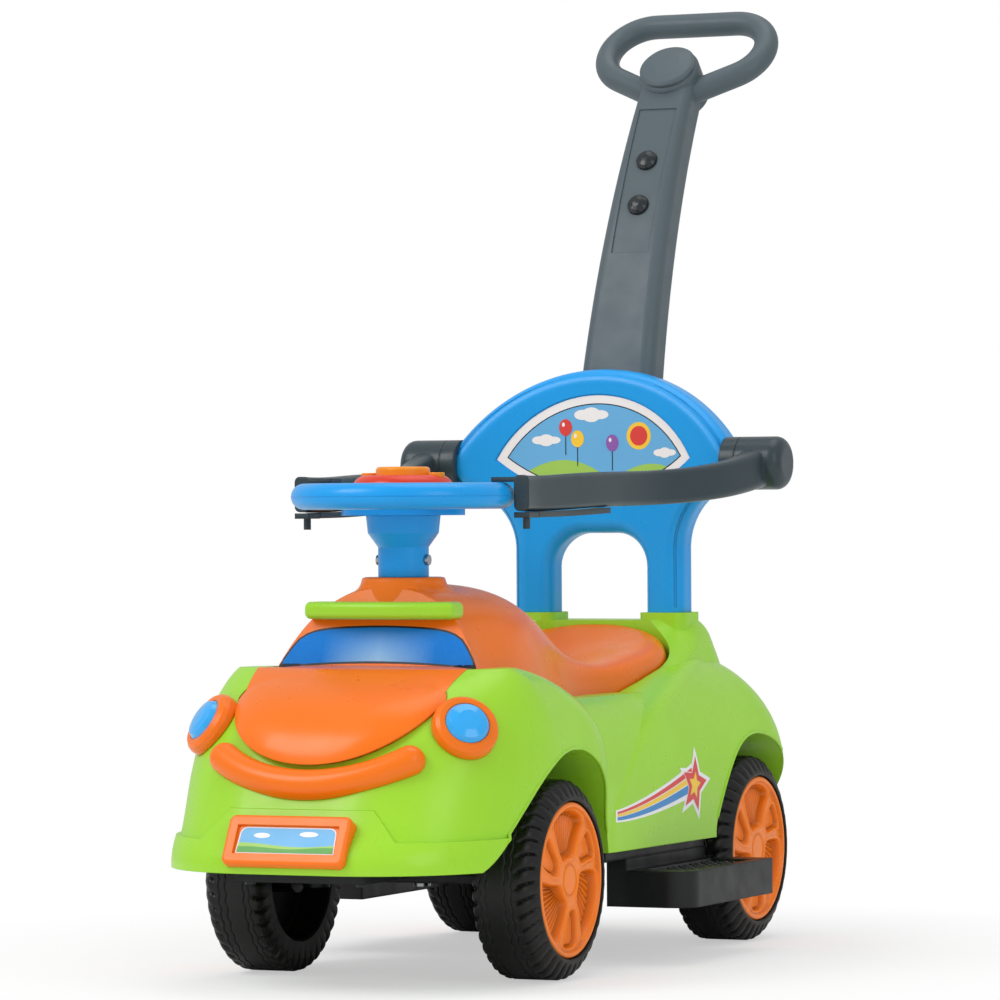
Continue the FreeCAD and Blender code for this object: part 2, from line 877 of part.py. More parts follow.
def front_hull(grow):
    """Nose and front fenders."""
    low = float(S.body_bottom)
    top = float(S.fender_top)
    knee = 0.45
    foot_tuck = 6.0
    rear_tuck = 2.0
    flat_loss = 0.27
    bow = 1.25
    wires = []
    for share in (0.0, 0.22, knee, 0.6, 0.74, 0.86, 0.94, 0.985):
        z = low + (top - low) * share
        fullness = min(1.0, share / knee)
        over = round_over(max(0.0, (share - knee) / (1.0 - knee)), 2.0)
        front_y = float(S.nose_y) + (z - low) * float(S.nose_slope) + over * float(S.fender_front_round) - grow
        rear_y = float(S.fender_rear_y) - over * float(S.fender_rear_round) + grow
        width = float(S.body_half) - foot_tuck * (1.0 - fullness) - over * float(S.fender_side_round) + grow
        flat = float(S.nose_flat) * (1.0 - over * flat_loss)
        rear_flat = float(S.fender_rear_flat) * (1.0 - over * flat_loss)
        wires.append(plan_outline(level(z, grow, share, knee), front_y, rear_y, width, width - rear_tuck,
                                  flat, rear_flat, bow))
    return solid_loft(wires)


def level(z, grow, share, knee):
    """Height of an offset outline: the roof and the open foot move, the sides stay."""
    if share > knee or (grow < 0 and share == 0.0):
        return z + grow
    return z


def waist_hull(grow):
    """Sill and the slopes beside the seat."""
    low = float(S.body_bottom)
    top = float(S.waist_top)
    front_y = float(S.front_axle_y + S.waist_front) - grow
    rear_y = float(rear_axle_y - S.waist_rear) + grow
    knee = 0.45
    foot_tuck = 1.5
    bow = 1.0
    wires = []
    for share in (0.0, 0.25, knee, 0.6, 0.75, 0.88, 0.97):
        z = low + (top - low) * share
        fullness = min(1.0, share / knee)
        over = round_over(max(0.0, (share - knee) / (1.0 - knee)), 1.9)
        width = float(S.waist_half) - foot_tuck * (1.0 - fullness) - over * float(S.waist_side_round) + grow
        flat = width * 0.9
        wires.append(plan_outline(level(z, grow, share, knee), front_y, rear_y, width, width, flat, flat, bow))
    return solid_loft(wires)


def rear_hull(grow):
    """Rear fenders; the front climbs in a curve from the sill to the crest."""
    low = float(S.body_bottom)
    top = float(S.rear_fender_top)
    crest_y = float(rear_axle_y - S.crease_lead)
    knee = 0.33
    climb = 2.5
    foot_tuck = 4.0
    front_tuck = 1.5
    front_flat = 0.72
    rear_flat = 0.66
    bow = 1.15
    wires = []
    for share in (0.0, 0.18, knee, 0.46, 0.59, 0.71, 0.81, 0.89, 0.945, 0.98):
        z = low + (top - low) * share
        slack = 1.0 - min(1.0, share / knee)
        over = round_over(max(0.0, (share - knee) / (1.0 - knee)), 2.0)
        front_y = crest_y - (1.0 - share ** climb) * float(S.crease_run) - grow
        rear_y = float(S.tail_y) - foot_tuck * slack - over * float(S.rear_fender_round) + grow
        width_rear = float(S.body_half) - foot_tuck * slack - over * float(S.rear_fender_round) + grow
        width_front = float(S.waist_half + S.crease_step) - front_tuck * slack - over * float(S.crease_round) + grow
        wires.append(plan_outline(level(z, grow, share, knee), front_y, rear_y, width_front, width_rear,
                                  width_front * front_flat, width_rear * rear_flat, bow))
    return solid_loft(wires)


def deck_hull(grow):
    """Raised deck behind and beside the seat."""
    low = float(S.deck_low)
    top = float(S.deck_top)
    climb = 1.8
    rear_share = 1.3
    front_flat = 0.62
    rear_flat = 0.5
    bow = 1.0
    wires = []
    for share in (0.0, 0.3, 0.54, 0.72, 0.86, 0.94, 0.985):
        z = low + (top - low) * share
        over = round_over(share, 1.8)
        front_y = float(S.deck_front_y) - (1.0 - share) ** climb * float(S.deck_slope) - grow
        rear_y = float(S.deck_rear_y) - over * float(S.deck_round) * rear_share + grow
        width = float(S.deck_half) - over * float(S.deck_round) + grow
        wires.append(plan_outline(level(z, grow, share, 0.0), front_y, rear_y, width, width,
                                  width * front_flat, width * rear_flat, bow))
    return solid_loft(wires)


def prism(points, direction):
    wire = Part.makePolygon([vec(*point) for point in points + points[:1]])
    return Part.Face(wire).extrude(vec(*direction))


def spline_face(points):
    """Face under a smooth curve, closed by a straight line."""
    curve = Part.BSplineCurve()
    curve.interpolate([vec(*point) for point in points])
    return Part.Face(Part.Wire([curve.toShape(), segment(points[-1], points[0])]))


def wheel_rooms(grow):
    """Front and rear wheel rooms of the left side, grown on every side."""
    inner = float(S.arch_inner_x) - grow
    reach = Vector(float(S.body_half), 0, 0)
    low = float(S.body_bottom) - float(S.arch_drop)
    rise = float(S.front_arch_top) + grow - low
    axle_y = float(S.front_axle_y)
    ahead = float(S.front_arch_front_y) - grow - axle_y
    behind = float(S.front_arch_rear_y) + grow - axle_y
    shares = [(ahead, 1.0, 0.0), (ahead, 0.76, 0.24), (ahead, 0.38, 0.78), (ahead, 0.0, 1.0),
              (behind, 0.55, 0.86), (behind, 0.9, 0.42), (behind, 1.0, 0.0)]
    front = spline_face([(inner, axle_y + run * along, low + rise * up) for run, along, up in shares])
    rear = Part.makeCylinder(float(S.rear_arch_radius) + grow, float(S.body_half),
                             vec(inner, rear_axle_y, axle_z + S.rear_arch_lift), Vector(1, 0, 0))
    return front.extrude(reach), rear


def bumper_band():
    """Raised lower band of the nose, which steps up round the plate."""
    low = float(S.body_bottom)
    high = low + float(S.band_height)
    peak = low + float(S.band_peak)
    edge = float(S.body_half) + 20.0
    foot = float(S.band_foot_half)
    crest = float(S.band_peak_half)
    start = float(S.nose_y) - 30.0
    outline = [(-edge, low), (edge, low), (edge, high), (foot, high), (crest, peak), (-crest, peak),
               (-foot, high), (-edge, high)]
    region = prism([(x, start, z) for x, z in outline], (0, float(S.band_rear_y) - start, 0))
    return front_hull(float(S.band_step)).common(region)


# Bonnet, cab and seat: lofts backwards through upright sections

def hood_section(y_low, y_high, half_low, half_high, low, shoulder, top, dip, dome):
    """Section with straight sides and a top between boxy and domed, which may dip in the middle."""
    span = top - low

    def at(x, z):
        return x, y_low + (y_high - y_low) * (z - low) / span, z

    rim = top + dip * 0.35
    middle = top - dip
    rise = top - shoulder
    boxy = [(1.0, shoulder), (1.0, rim), (0.72, rim), (0.36, middle), (0.0, middle)]
    domed = [(1.0, shoulder), (0.87, shoulder + rise * 0.3), (0.72, shoulder + rise * 0.81), (0.39, top), (0.0, top)]
    right = []
    for (box_share, box_z), (dome_share, dome_z) in zip(boxy, domed):
        share = box_share + (dome_share - box_share) * dome
        right.append(at(half_high * share, box_z + (dome_z - box_z) * dome))
    left = [(-x, y, z) for x, y, z in reversed(right)]
    edges = [
        segment(at(-half_low, low), at(half_low, low)),
        segment(at(half_low, low), at(half_high, shoulder)),
        bezier(*right),
        bezier(*left),
        segment(at(-half_high, shoulder), at(-half_low, low)),
    ]
    return Part.Wire(edges)


def egg_prism(grow, y_from, y_to):
    """Egg outline of the bonnet as seen from the front, carried along Y."""
    half = float(S.egg_half) + grow
    height = float(S.egg_height) + grow
    z = float(S.egg_z)
    high = z + float(S.bonnet_rise)
    low = z - height
    pull = 0.5523
    wire = Part.Wire([
        segment((-half, y_from, high), (half, y_from, high)),
        segment((half, y_from, high), (half, y_from, z)),
        bezier((half, y_from, z), (half, y_from, z - height * pull), (half * pull, y_from, low), (0, y_from, low)),
        bezier((0, y_from, low), (-half * pull, y_from, low), (-half, y_from, z - height * pull), (-half, y_from, z)),
        segment((-half, y_from, z), (-half, y_from, high)),
    ])
    return Part.Face(wire).extrude(Vector(0, y_to - y_from, 0))


def bonnet(grow):
    """Dome over the nose, kept inside the egg outline."""
    nose = float(S.bonnet_nose_y)
    length = float(S.bonnet_rear_y) - nose
    low = float(S.bonnet_low)
    half = float(S.bonnet_half)
    rise = float(S.bonnet_rise)
    base = low - float(S.bonnet_depth)
    floor = base - grow if grow > 0 else base + 2 * grow
    wires = []
    for share in (0.004, 0.04, 0.12, 0.26, 0.45, 0.7, 1.0, 1.25):
        spread = min(share, 1.0)
        width = half * (1.0 - round_over(1.0 - spread, 2.7)) + grow
        top = low + rise * (1.0 - round_over(1.0 - spread, 1.85)) + grow
        shoulder = base + (top - base) * (0.4 + 0.48 * spread)
        y = nose - grow + (length + grow) * share
        wires.append(hood_section(y, y, width, width * 0.985, floor, shoulder, top, 0.0, 0.0))
    dome = solid_loft(wires)
    return dome.common(egg_prism(grow, nose * 1.2, float(S.front_axle_y)))


def cab_stations():
    """Rows of front foot, front head, half width below, half width above, shoulder, top, dip and dome."""
    low_y = float(S.screen_low_y)
    high_y = float(S.screen_high_y)
    half = float(S.cab_half)
    roof = float(S.cab_roof)
    seat_half = float(S.seat_half)
    seat = float(S.seat_low)
    rear_top = float(S.seat_rear_top)
    rear_y = float(S.seat_rear_y)
    roof_length = 130.0
    back = high_y + roof_length
    run = rear_y - back
    drop = roof - seat
    return [
        (low_y, high_y, half, half - 3, seat, roof - 3, 0.0, 1.0),
        (high_y + 12, high_y + 30, half, half - 3, seat + 2, roof, 0.0, 0.9),
        (high_y + 80, high_y + 86, half, half - 4, seat + 2, roof - 1, 0.0, 0.6),
        (back, back, half - 4, half - 12, seat, roof - drop * 0.1, 0.0, 0.5),
        (back + run * 0.14, back + run * 0.14, half - 11, half - 20, seat - 5, roof - drop * 0.34, 0.0, 0.4),
        (back + run * 0.27, back + run * 0.27, half - 16, half - 24, seat - 11, roof - drop * 0.66, 1.0, 0.25),
        (back + run * 0.40, back + run * 0.40, half - 17, half - 22, seat - 13, roof - drop * 0.9, 4.0, 0.0),
        (back + run * 0.56, back + run * 0.56, half - 11, half - 14, seat - 11, seat + 5, 8.0, 0.0),
        (back + run * 0.76, back + run * 0.76, seat_half, seat_half - 2, seat - 5, seat + 14, 9.0, 0.0),
        (back + run * 0.90, back + run * 0.90, seat_half * 0.93, seat_half * 0.9, seat + 1, rear_top - 7, 6.0, 0.0),
        (back + run * 0.97, back + run * 0.97, seat_half * 0.72, seat_half * 0.69, seat + 7, rear_top - 2, 2.0, 0.0),
        (rear_y, rear_y, seat_half * 0.45, seat_half * 0.42, seat + 9, rear_top, 0.0, 0.0),
    ]


def cab(grow):
    low = float(S.cab_low)
    floor = low - grow if grow > 0 else low + 2 * grow
    stations = cab_stations()
    wires = []
    for number, (y_low, y_high, half_low, half_high, shoulder, top, dip, dome) in enumerate(stations):
        shift = -grow if number == 0 else grow if number == len(stations) - 1 else 0.0
        wires.append(hood_section(y_low + shift, y_high + shift, half_low + grow, half_high + grow,
                                  floor, shoulder, top + grow, dip, dome))
    return solid_loft(wires)


def seat_well(gap, low):
    """Room above the seat and the cab that the body shell leaves open."""
    wires = []
    ceiling = float(S.cab_roof)
    stations = cab_stations()
    for number, (y, y_high, half_low, half_high, shoulder, top, dip, dome) in enumerate(stations):
        shift = -gap if number == 0 else gap if number == len(stations) - 1 else 0.0
        y += shift
        half = half_low + gap
        wires.append(Part.makePolygon([Vector(-half, y, low), Vector(half, y, low), Vector(half, y, ceiling),
                                       Vector(-half, y, ceiling), Vector(-half, y, low)]))
    return solid_loft(wires)


JOIN_TOLERANCE = 0.01
wall = float(S.wall)
gap = float(S.fit_gap)
bonnet_outer = bonnet(0.0)
cab_outer = cab(0.0)
collar_low = S.collar_top - S.collar_height
collar = Part.makeCylinder(float(S.collar_radius), float(S.collar_height), vec(0, S.front_axle_y, collar_low))
collar = collar.makeFillet(float(S.collar_edge), [edge for edge in collar.Edges if lies_at(edge, S.collar_top)])
hood_outer = bonnet_outer.fuse([cab_outer], JOIN_TOLERANCE)
hood_hollow = bonnet(-wall).fuse([cab(-wall)], JOIN_TOLERANCE)
hood_shell = hood_outer.cut([hood_hollow], JOIN_TOLERANCE)


def post(x, y, low, high):
    return Part.makeCylinder(float(S.post_radius), float(high) - float(low), vec(x, y, low), Vector(0, 0, 1))


def pilot(x, y):
    length = float(S.screw_bite) + 2.0
    return Part.makeCylinder(float(S.screw_radius) + float(S.running_gap), length, vec(x, y, S.tray_top),
                             Vector(0, 0, 1))


column_hole = Part.makeCylinder(float(bush_outer + S.running_gap), float(S.cab_roof),
                                vec(0, S.front_axle_y, S.cab_low), Vector(0, 0, 1))
hood_shell = hood_shell.fuse(collar.cut(hood_hollow))
for x, y in top_posts:
    for hand, side in SIDES:
        foot = post(x * side, y, S.tray_top, S.cab_low)
        head = post(x * side, y, S.cab_low, S.collar_top).common(hood_outer)
        hood_shell = hood_shell.fuse(foot.fuse(head))
        hood_shell = hood_shell.cut(pilot(x * side, y))
flange_room = Part.makeCylinder(float(bush_outer + S.bush_flange + S.running_gap), float(S.bush_flange_thickness),
                                vec(0, S.front_axle_y, flange_seat), Vector(0, 0, 1))
hood_shell = hood_shell.cut([column_hole, flange_room])
feature("top_moulding", hood_shell)

body_outer = front_hull(0.0).fuse([waist_hull(0.0), rear_hull(0.0), deck_hull(0.0)])
body_hollow = front_hull(-wall).fuse([waist_hull(-wall), rear_hull(-wall), deck_hull(-wall)])
rooms = []
linings = []
for room, outside in zip(wheel_rooms(0.0), wheel_rooms(wall)):
    rooms += [room, mirror_x(room)]
    linings += [outside, mirror_x(outside)]
well_low = float(S.cab_low)
linings.append(seat_well(gap + wall, well_low).cut(seat_well(gap, well_low)))
for x, y in shell_posts:
    column = post(x, y, S.tray_top, S.deck_top)
    linings += [column, mirror_x(column)]
shell = body_outer.cut(body_hollow.cut(linings))
shell = shell.fuse(bumper_band().cut(body_hollow))
shell = shell.cut(rooms)
bend_y = float(S.back_front_y - S.back_curve)
pillar_x = float(S.pillar_inner + S.pillar_outer) / 2


def bent_y(x, depth):
    """Y of the bent backrest at a side position, at a depth behind its front face."""
    return bend_y + math.sqrt((float(S.back_curve) + float(depth)) ** 2 - float(x) ** 2)


pillar_front_y = bent_y(pillar_x, 0)
def pillar_box(margin, low, high):
    """Box round the foot of the left pillar."""
    size = (S.pillar_outer - S.pillar_inner + margin * 2, S.back_depth + margin * 2, high - low)
    corner = vec(S.pillar_inner - margin, pillar_front_y - margin, low)
    return Part.makeBox(*[float(length) for length in size], corner)


deck_boss = pillar_box(S.socket_margin, S.deck_low, S.pillar_foot_z).cut(body_hollow)
deck_boss = deck_boss.makeFillet(float(S.collar_round), [
    edge for edge in deck_boss.Edges if is_upright(edge) and edge.BoundBox.ZMax > float(S.pillar_foot_z) - 0.01])
peg_hole = pillar_box(-S.peg_inset + S.fit_gap, S.pillar_foot_z - S.peg_length - S.fit_gap, S.pillar_foot_z + 1.0)
for boss in (deck_boss, mirror_x(deck_boss)):
    shell = shell.fuse(boss)
shell = shell.cut([seat_well(gap, well_low - gap), bonnet(gap)])
ear_room = Part.makeBox(float(S.kingpin_x) * 2, float(S.knuckle_radius + S.fit_gap) * 2,
                        float(S.tray_thickness + S.fit_gap),
                        vec(-S.kingpin_x, S.front_axle_y - S.knuckle_radius - S.fit_gap, S.tray_top))
shell = shell.cut(ear_room)
shell = shell.cut([peg_hole, mirror_x(peg_hole)])
for x, y in shell_posts:
    shell = shell.cut([pilot(x, y), pilot(-x, y)])
feature("body_shell", largest(shell))


# Front trim

def surface_at(shape, point):
    """Nearest place on a solid's skin, and the outward direction there."""
    found = shape.Shells[0].distToShape(Part.Vertex(point))
    spot = found[1][0][0]
    kind, number, where = found[2][0][:3]
    if kind == "Face":
        return spot, shape.Shells[0].Faces[number].normalAt(*where)
    return spot, (point - spot).normalize()


def front_at(shape, x, z):
    """Foremost place of a solid at a side position and a height."""
    ray = segment((x, S.nose_y * 2, z), (x, S.front_axle_y, z))
    return min((vertex.Point for vertex in ray.common(shape).Vertexes), key=lambda point: point.y)


def turned(profile, at, normal):
    """Solid of revolution from (radius, height) corners, set on a point along a direction."""
    tilt = Rotation(Vector(0, 0, 1), normal)
    points = [at + tilt.multVec(Vector(float(r), 0, float(h))) for r, h in profile]
    face = Part.Face(Part.makePolygon(points + points[:1]))
    return face.revolve(at, normal, 360)


nose_skin = front_hull(gap)
lamp_spot, lamp_normal = surface_at(front_hull(0.0), vec(S.lamp_x, S.lamp_y, S.lamp_z))
lens_seat = S.lens_radius + S.fit_gap
bezel = turned([
    (lens_seat, -S.lamp_root),
    (S.lamp_radius, -S.lamp_root),
    (S.lamp_radius, S.lamp_height * 0.3),
    (S.lamp_radius * 0.95, S.lamp_height * 0.7),
    (S.lamp_radius * 0.84, S.lamp_height),
    (lens_seat, S.lamp_height),
], lamp_spot, lamp_normal).cut(nose_skin)
lens_top = S.lamp_height + S.lens_height
lens = turned([
    (0, -S.lamp_root),
    (S.lens_radius, -S.lamp_root),
    (S.lens_radius, S.lamp_height),
    (S.lens_radius * 0.86, S.lamp_height + S.lens_height * 0.6),
    (S.lens_radius * 0.5, S.lamp_height + S.lens_height * 0.92),
    (0, lens_top),
], lamp_spot, lamp_normal).cut(nose_skin)
feature("headlight_bezel_left", largest(bezel))
feature("headlight_bezel_right", mirror_x(largest(bezel)))
feature("headlight_lens_left", largest(lens))
feature("headlight_lens_right", mirror_x(largest(lens)))

bar_end = front_at(front_hull(0.0), S.bar_half, S.bar_end_z)
bar_middle = front_at(front_hull(0.0), 0, S.bar_low_z)
bar_arc = Part.Arc(Vector(-bar_end.x, bar_end.y, bar_end.z), bar_middle, bar_end)
bar_path = Part.Wire([bar_arc.toShape()])
bar_ring = Part.Wire([Part.makeCircle(float(S.bar_radius), bar_arc.value(bar_arc.FirstParameter),
                                      bar_arc.tangent(bar_arc.FirstParameter)[0])])
bar_tube = bar_path.makePipeShell([bar_ring], True, False)
for end in (bar_end, Vector(-bar_end.x, bar_end.y, bar_end.z)):
    bar_tube = bar_tube.fuse(Part.makeSphere(float(S.bar_radius), end))
feature("bumper_bar", largest(bar_tube.cut(front_hull(gap))))

plate_lean = math.degrees(math.atan(float(S.nose_slope)))
plate_spot = front_at(front_hull(float(S.band_step)), 0, S.plate_centre_z)
frame_block = Part.makeBox(float(S.plate_half) * 2, float(S.plate_height), float(S.plate_thickness) * 3,
                           vec(-S.plate_half, -S.plate_height / 2, -S.plate_thickness * 2))
frame_block = frame_block.makeFillet(float(S.plate_round), [e for e in frame_block.Edges if is_upright(e)])
frame_block = frame_block.makeFillet(float(S.plate_round) / 2, [
    e for e in frame_block.Edges if lies_at(e, S.plate_thickness)])
border = S.plate_border
sunk = Part.makeBox(float(S.plate_half - border) * 2, float(S.plate_height - border * 2), 10.0,
                    vec(-S.plate_half + border, -S.plate_height / 2 + border, S.plate_thickness - S.plate_recess))
frame_block = frame_block.cut(sunk)
frame_block.Placement = Placement(plate_spot, Rotation(Vector(1, 0, 0), 90.0 - plate_lean))
feature("plate_frame", largest(frame_block.cut(front_hull(float(S.band_step) + gap))))

visor_end_y = S.visor_front_y + S.visor_sweep
visor_rear_y = S.visor_front_y + S.visor_depth
visor_left = vec(-S.visor_half, visor_end_y, S.visor_low)
visor_right = vec(S.visor_half, visor_end_y, S.visor_low)
visor_rear = [vec(S.visor_half, visor_rear_y, S.visor_low), vec(-S.visor_half, visor_rear_y, S.visor_low)]
visor_edge = Part.Arc(visor_left, vec(0, S.visor_front_y, S.visor_low), visor_right).toShape()
visor_sides = Part.makePolygon([visor_right, *visor_rear, visor_left])
visor = Part.Face(Part.Wire([visor_edge, *visor_sides.Edges])).extrude(vec(0, 0, S.visor_height))
visor = visor.makeFillet(float(S.visor_round), visor.Edges)
feature("visor", largest(visor.cut(cab(gap))))


# Steering wheel, column and horn

wheel_at = (0, S.front_axle_y, 0)


def make_wheel():
    ring = doc.addObject("Part::Torus", "rim")
    bind(ring, "Radius1", S.rim_radius)
    bind(ring, "Radius2", S.rim_tube)
    place(ring, (0, S.front_axle_y, S.rim_z))
    hub = cylinder(S.wheel_hub_radius, S.wheel_hub_height, (0, S.front_axle_y, S.wheel_hub_low))
    pieces = [ring, hub]
    for angle in (90, 210, 330):
        spoke = doc.addObject("Part::Box", "spoke")
        bind(spoke, "Length", S.rim_radius)
        bind(spoke, "Width", S.spoke_width)
        bind(spoke, "Height", S.spoke_height)
        rotation = Rotation(Vector(0, 0, 1), angle)
        start = rotation.multVec(Vector(0, -1, 0))
        spoke.Placement = Placement(Vector(0, 0, 0), rotation)
        bind(spoke, "Placement.Base.x", S.spoke_width / 2 * start.x)
        bind(spoke, "Placement.Base.y", S.front_axle_y + S.spoke_width / 2 * start.y)
        bind(spoke, "Placement.Base.z", S.rim_z - S.spoke_height / 2)
        pieces.append(spoke)
    bore = cylinder(S.rod_radius + S.running_gap, rod_top - S.wheel_hub_low,
                    (0, S.front_axle_y, S.wheel_hub_low))
    above = cylinder(S.rim_radius - S.rim_tube, S.rim_tube * 2, (0, S.front_axle_y, hub_top))
    keep(cut(fused(pieces), [bore, above], "steering_wheel"), "steering_wheel")


make_wheel()


def make_column():
    body = new_body("sleeve_turn")
    low = S.collar_top + S.fit_gap
    neck = low + S.column_neck
    flare = neck + S.column_flare_height
    top = S.wheel_hub_low
    bore = S.rod_radius + S.running_gap
    revolved(body, [
        (bore, low),
        (S.column_radius, low),
        (S.column_radius, neck),
        (S.column_flare - 1.5, flare),
        (S.column_flare, top),
        (S.column_flare - S.wall, top),
        (S.column_bore, neck + S.wall),
        (bore, neck + S.wall),
    ])
    place(body, wheel_at)
    reach = S.column_radius + S.screw_head
    shank = S.column_radius - bore - S.wall
    screws = []
    holes = []
    for hand, side in SIDES:
        along = "-x" if side > 0 else "x"
        head_at = (reach * side, S.front_axle_y, S.column_screw_z)
        screws.append(fused([
            cylinder(S.screw_head_radius, S.screw_head, head_at, along),
            cylinder(S.screw_radius, S.screw_head + shank, head_at, along),
        ]))
        holes.append(cylinder(S.screw_head_radius + S.running_gap, S.screw_head * 1.5, head_at, along))
        holes.append(cylinder(S.screw_radius + S.running_gap, S.screw_head + shank + S.fit_gap, head_at, along))
    keep(cut(body, holes, "sleeve"), "column_sleeve")
    group = doc.addObject("Part::Compound", "column_screws")
    group.Links = screws
    keep(group, "column_screws")


make_column()

horn_low = hub_top
horn_top = horn_low + S.horn_height
well_floor = horn_top - S.horn_well
tune_places = [("left", S.tune_button_pitch), ("right", -S.tune_button_pitch)]


def make_horn():
    body = new_body("horn_housing")
    revolved(body, [(0, horn_low), (S.horn_radius, horn_low), (S.horn_radius, horn_top), (0, horn_top)])
    rounded(body, S.horn_round, lambda edge: is_circle(edge, S.horn_radius, horn_top))
    sketch = sketch_on(body, "XY_Plane", horn_top)
    draw_circle(sketch, S.horn_button_radius + S.fit_gap)
    for hand, x in tune_places:
        draw_circle(sketch, S.tune_button_radius + S.fit_gap, x)
    pocketed(body, sketch, S.horn_well)
    place(body, wheel_at)
    keep(body, "horn_housing")


def make_button(label, radius, proud, x):
    """Push button with a rounded edge; it stands above its well's floor by its travel."""
    body = new_body(label)
    low = well_floor + S.button_travel + S.fit_gap
    top = horn_top + proud
    revolved(body, [(0, low), (radius, low), (radius, top), (0, top)])
    rounded(body, (top - horn_top) * 0.45, lambda edge: is_circle(edge, radius, top))
    place(body, (x, S.front_axle_y, 0))
    keep(body, label)


make_horn()
make_button("horn_button", S.horn_button_radius, S.horn_button_proud, 0)
for hand, x in tune_places:
    make_button("tune_button_" + hand, S.tune_button_radius, S.tune_button_proud, x)


# Backrest

def arc_about(centre, start, end):
    """Arc of less than half a turn about a centre."""
    middle = (start - centre).normalize() + (end - centre).normalize()
    return Part.Arc(start, centre + middle.normalize() * (start - centre).Length, end)


def back_outline():
    """Shield of tangent arcs on two pillars, drawn at the front face."""
    y = float(S.back_front_y)
    inner = float(S.pillar_inner)
    outer = float(S.pillar_outer)
    foot = float(S.pillar_foot_z)
    neck = float(S.pillar_neck_z)
    side_radius = float(S.back_side_radius)
    side = vec(S.back_half - S.back_side_radius, y, S.back_wide_z)
    rise = float(S.back_top - S.back_wide_z)
    crown_radius = (side.x ** 2 + rise ** 2 - side_radius ** 2) / (2 * (rise - side_radius))
    crown = vec(0, y, S.back_top - crown_radius)
    shoulder = crown + (side - crown).normalize() * crown_radius
    reach = side.x - outer
    climb = side.z - neck
    flare_radius = (reach ** 2 + climb ** 2 - side_radius ** 2) / (2 * (reach + side_radius))
    flare = Vector(outer + flare_radius, y, neck)
    waist = side + (flare - side).normalize() * side_radius
    neck_point = Vector(outer, y, neck)
    right = [arc_about(flare, neck_point, waist), arc_about(side, waist, shoulder)]
    top_arc = Part.Arc(shoulder, vec(0, y, S.back_top), Vector(-shoulder.x, y, shoulder.z))
    left = [mirror_x(arc.toShape()) for arc in reversed(right)]
    arch_top = float(S.opening_top)
    bend = float(S.opening_round)
    spring = arch_top - bend
    flat = inner - bend
    turn = bend * math.sqrt(0.5)
    left_bend = Part.Arc(Vector(-inner, y, spring), Vector(-flat - turn, y, spring + turn),
                         Vector(-flat, y, arch_top))
    right_bend = Part.Arc(Vector(flat, y, arch_top), Vector(flat + turn, y, spring + turn),
                          Vector(inner, y, spring))
    return Part.Wire([
        segment((inner, y, foot), (outer, y, foot)),
        segment((outer, y, foot), (outer, y, neck)),
        *[arc.toShape() for arc in right],
        top_arc.toShape(),
        *left,
        segment((-outer, y, neck), (-outer, y, foot)),
        segment((-outer, y, foot), (-inner, y, foot)),
        segment((-inner, y, foot), (-inner, y, spring)),
        left_bend.toShape(),
        segment((-flat, y, arch_top), (flat, y, arch_top)),
        right_bend.toShape(),
        segment((inner, y, spring), (inner, y, foot)),
    ])


def bent_slab(near, far):
    """Upright curved layer of the backrest between two depths behind its front face."""
    foot = Vector(0, bend_y, 0)
    height = float(S.back_top) * 2
    outside = Part.makeCylinder(float(S.back_curve) + float(far), height, foot)
    return outside.cut(Part.makeCylinder(float(S.back_curve) + float(near), height, foot))


def carried(face):
    """A flat outline carried along Y right through the bent backrest."""
    reach = float(S.back_front_y) - bent_y(S.back_half, 0) + float(S.back_depth)
    face = face.copy()
    face.translate(Vector(0, -reach, 0))
    return face.extrude(Vector(0, reach + float(S.back_depth) * 2, 0))


def on_bend(edge, depth):
    """Whether an edge lies on the curved layer at a depth behind the front face."""
    middle = edge.valueAt((edge.FirstParameter + edge.LastParameter) / 2)
    points = [middle] + [vertex.Point for vertex in edge.Vertexes]
    radius = float(S.back_curve) + float(depth)
    return all(abs(math.hypot(point.x, point.y - bend_y) - radius) < 0.01 for point in points)


def eye_panel():
    """Lens-shaped recess for the printed panel."""
    y = float(S.back_front_y)
    ends = float(S.panel_half)
    z = float(S.panel_z)
    top = Part.Arc(Vector(-ends, y, z), vec(0, y, S.panel_top), Vector(ends, y, z))
    low = Part.Arc(Vector(ends, y, z), vec(0, y, S.panel_low), Vector(-ends, y, z))
    lens = Part.Face(Part.Wire([top.toShape(), low.toShape()]))
    return carried(lens).common(bent_slab(-S.panel_recess, S.panel_recess))
back_screw_places = [(62.0, 446.0), (62.0, 318.0)]


def along_y(radius, x, y_from, y_to, z):
    return Part.makeCylinder(float(radius), float(y_to) - float(y_from), vec(x, y_from, z), Vector(0, 1, 0))


back_face = Part.Face(back_outline())
back_solid = carried(back_face).common(bent_slab(0, S.back_depth))
back_solid = back_solid.makeFillet(float(S.back_round), [
    edge for edge in back_solid.Edges
    if (on_bend(edge, 0) or on_bend(edge, S.back_depth)) and not lies_at(edge, S.pillar_foot_z)])
core = carried(back_face.makeOffset2D(-wall * 1.5)).common(bent_slab(S.wall, S.back_depth - S.wall))
front_half = Part.makeCylinder(float(S.back_curve + S.back_split), float(S.back_top) * 2, Vector(0, bend_y, 0))
pole_foot_z = S.pole_foot_z
tang_y = S.pole_foot_y
pin_start = vec(S.pivot_pin_inner_x, S.pivot_y, S.pivot_z)
pin_length = float(S.pivot_pin_outer_x - S.pivot_pin_inner_x)
pin_hole = Part.makeCylinder(float(S.pivot_pin_radius + S.running_gap), pin_length, pin_start, Vector(1, 0, 0))
def tang_box(margin, head):
    """Box of the pole's tang, grown on every side, up to a height."""
    low = pole_foot_z - S.tang_length - margin
    size = (S.tang_width + margin * 2, S.tang_depth + margin * 2, head - low)
    corner = vec(-S.tang_width / 2 - margin, tang_y - S.tang_depth / 2 - margin, low)
    return Part.makeBox(*[float(length) for length in size], corner)


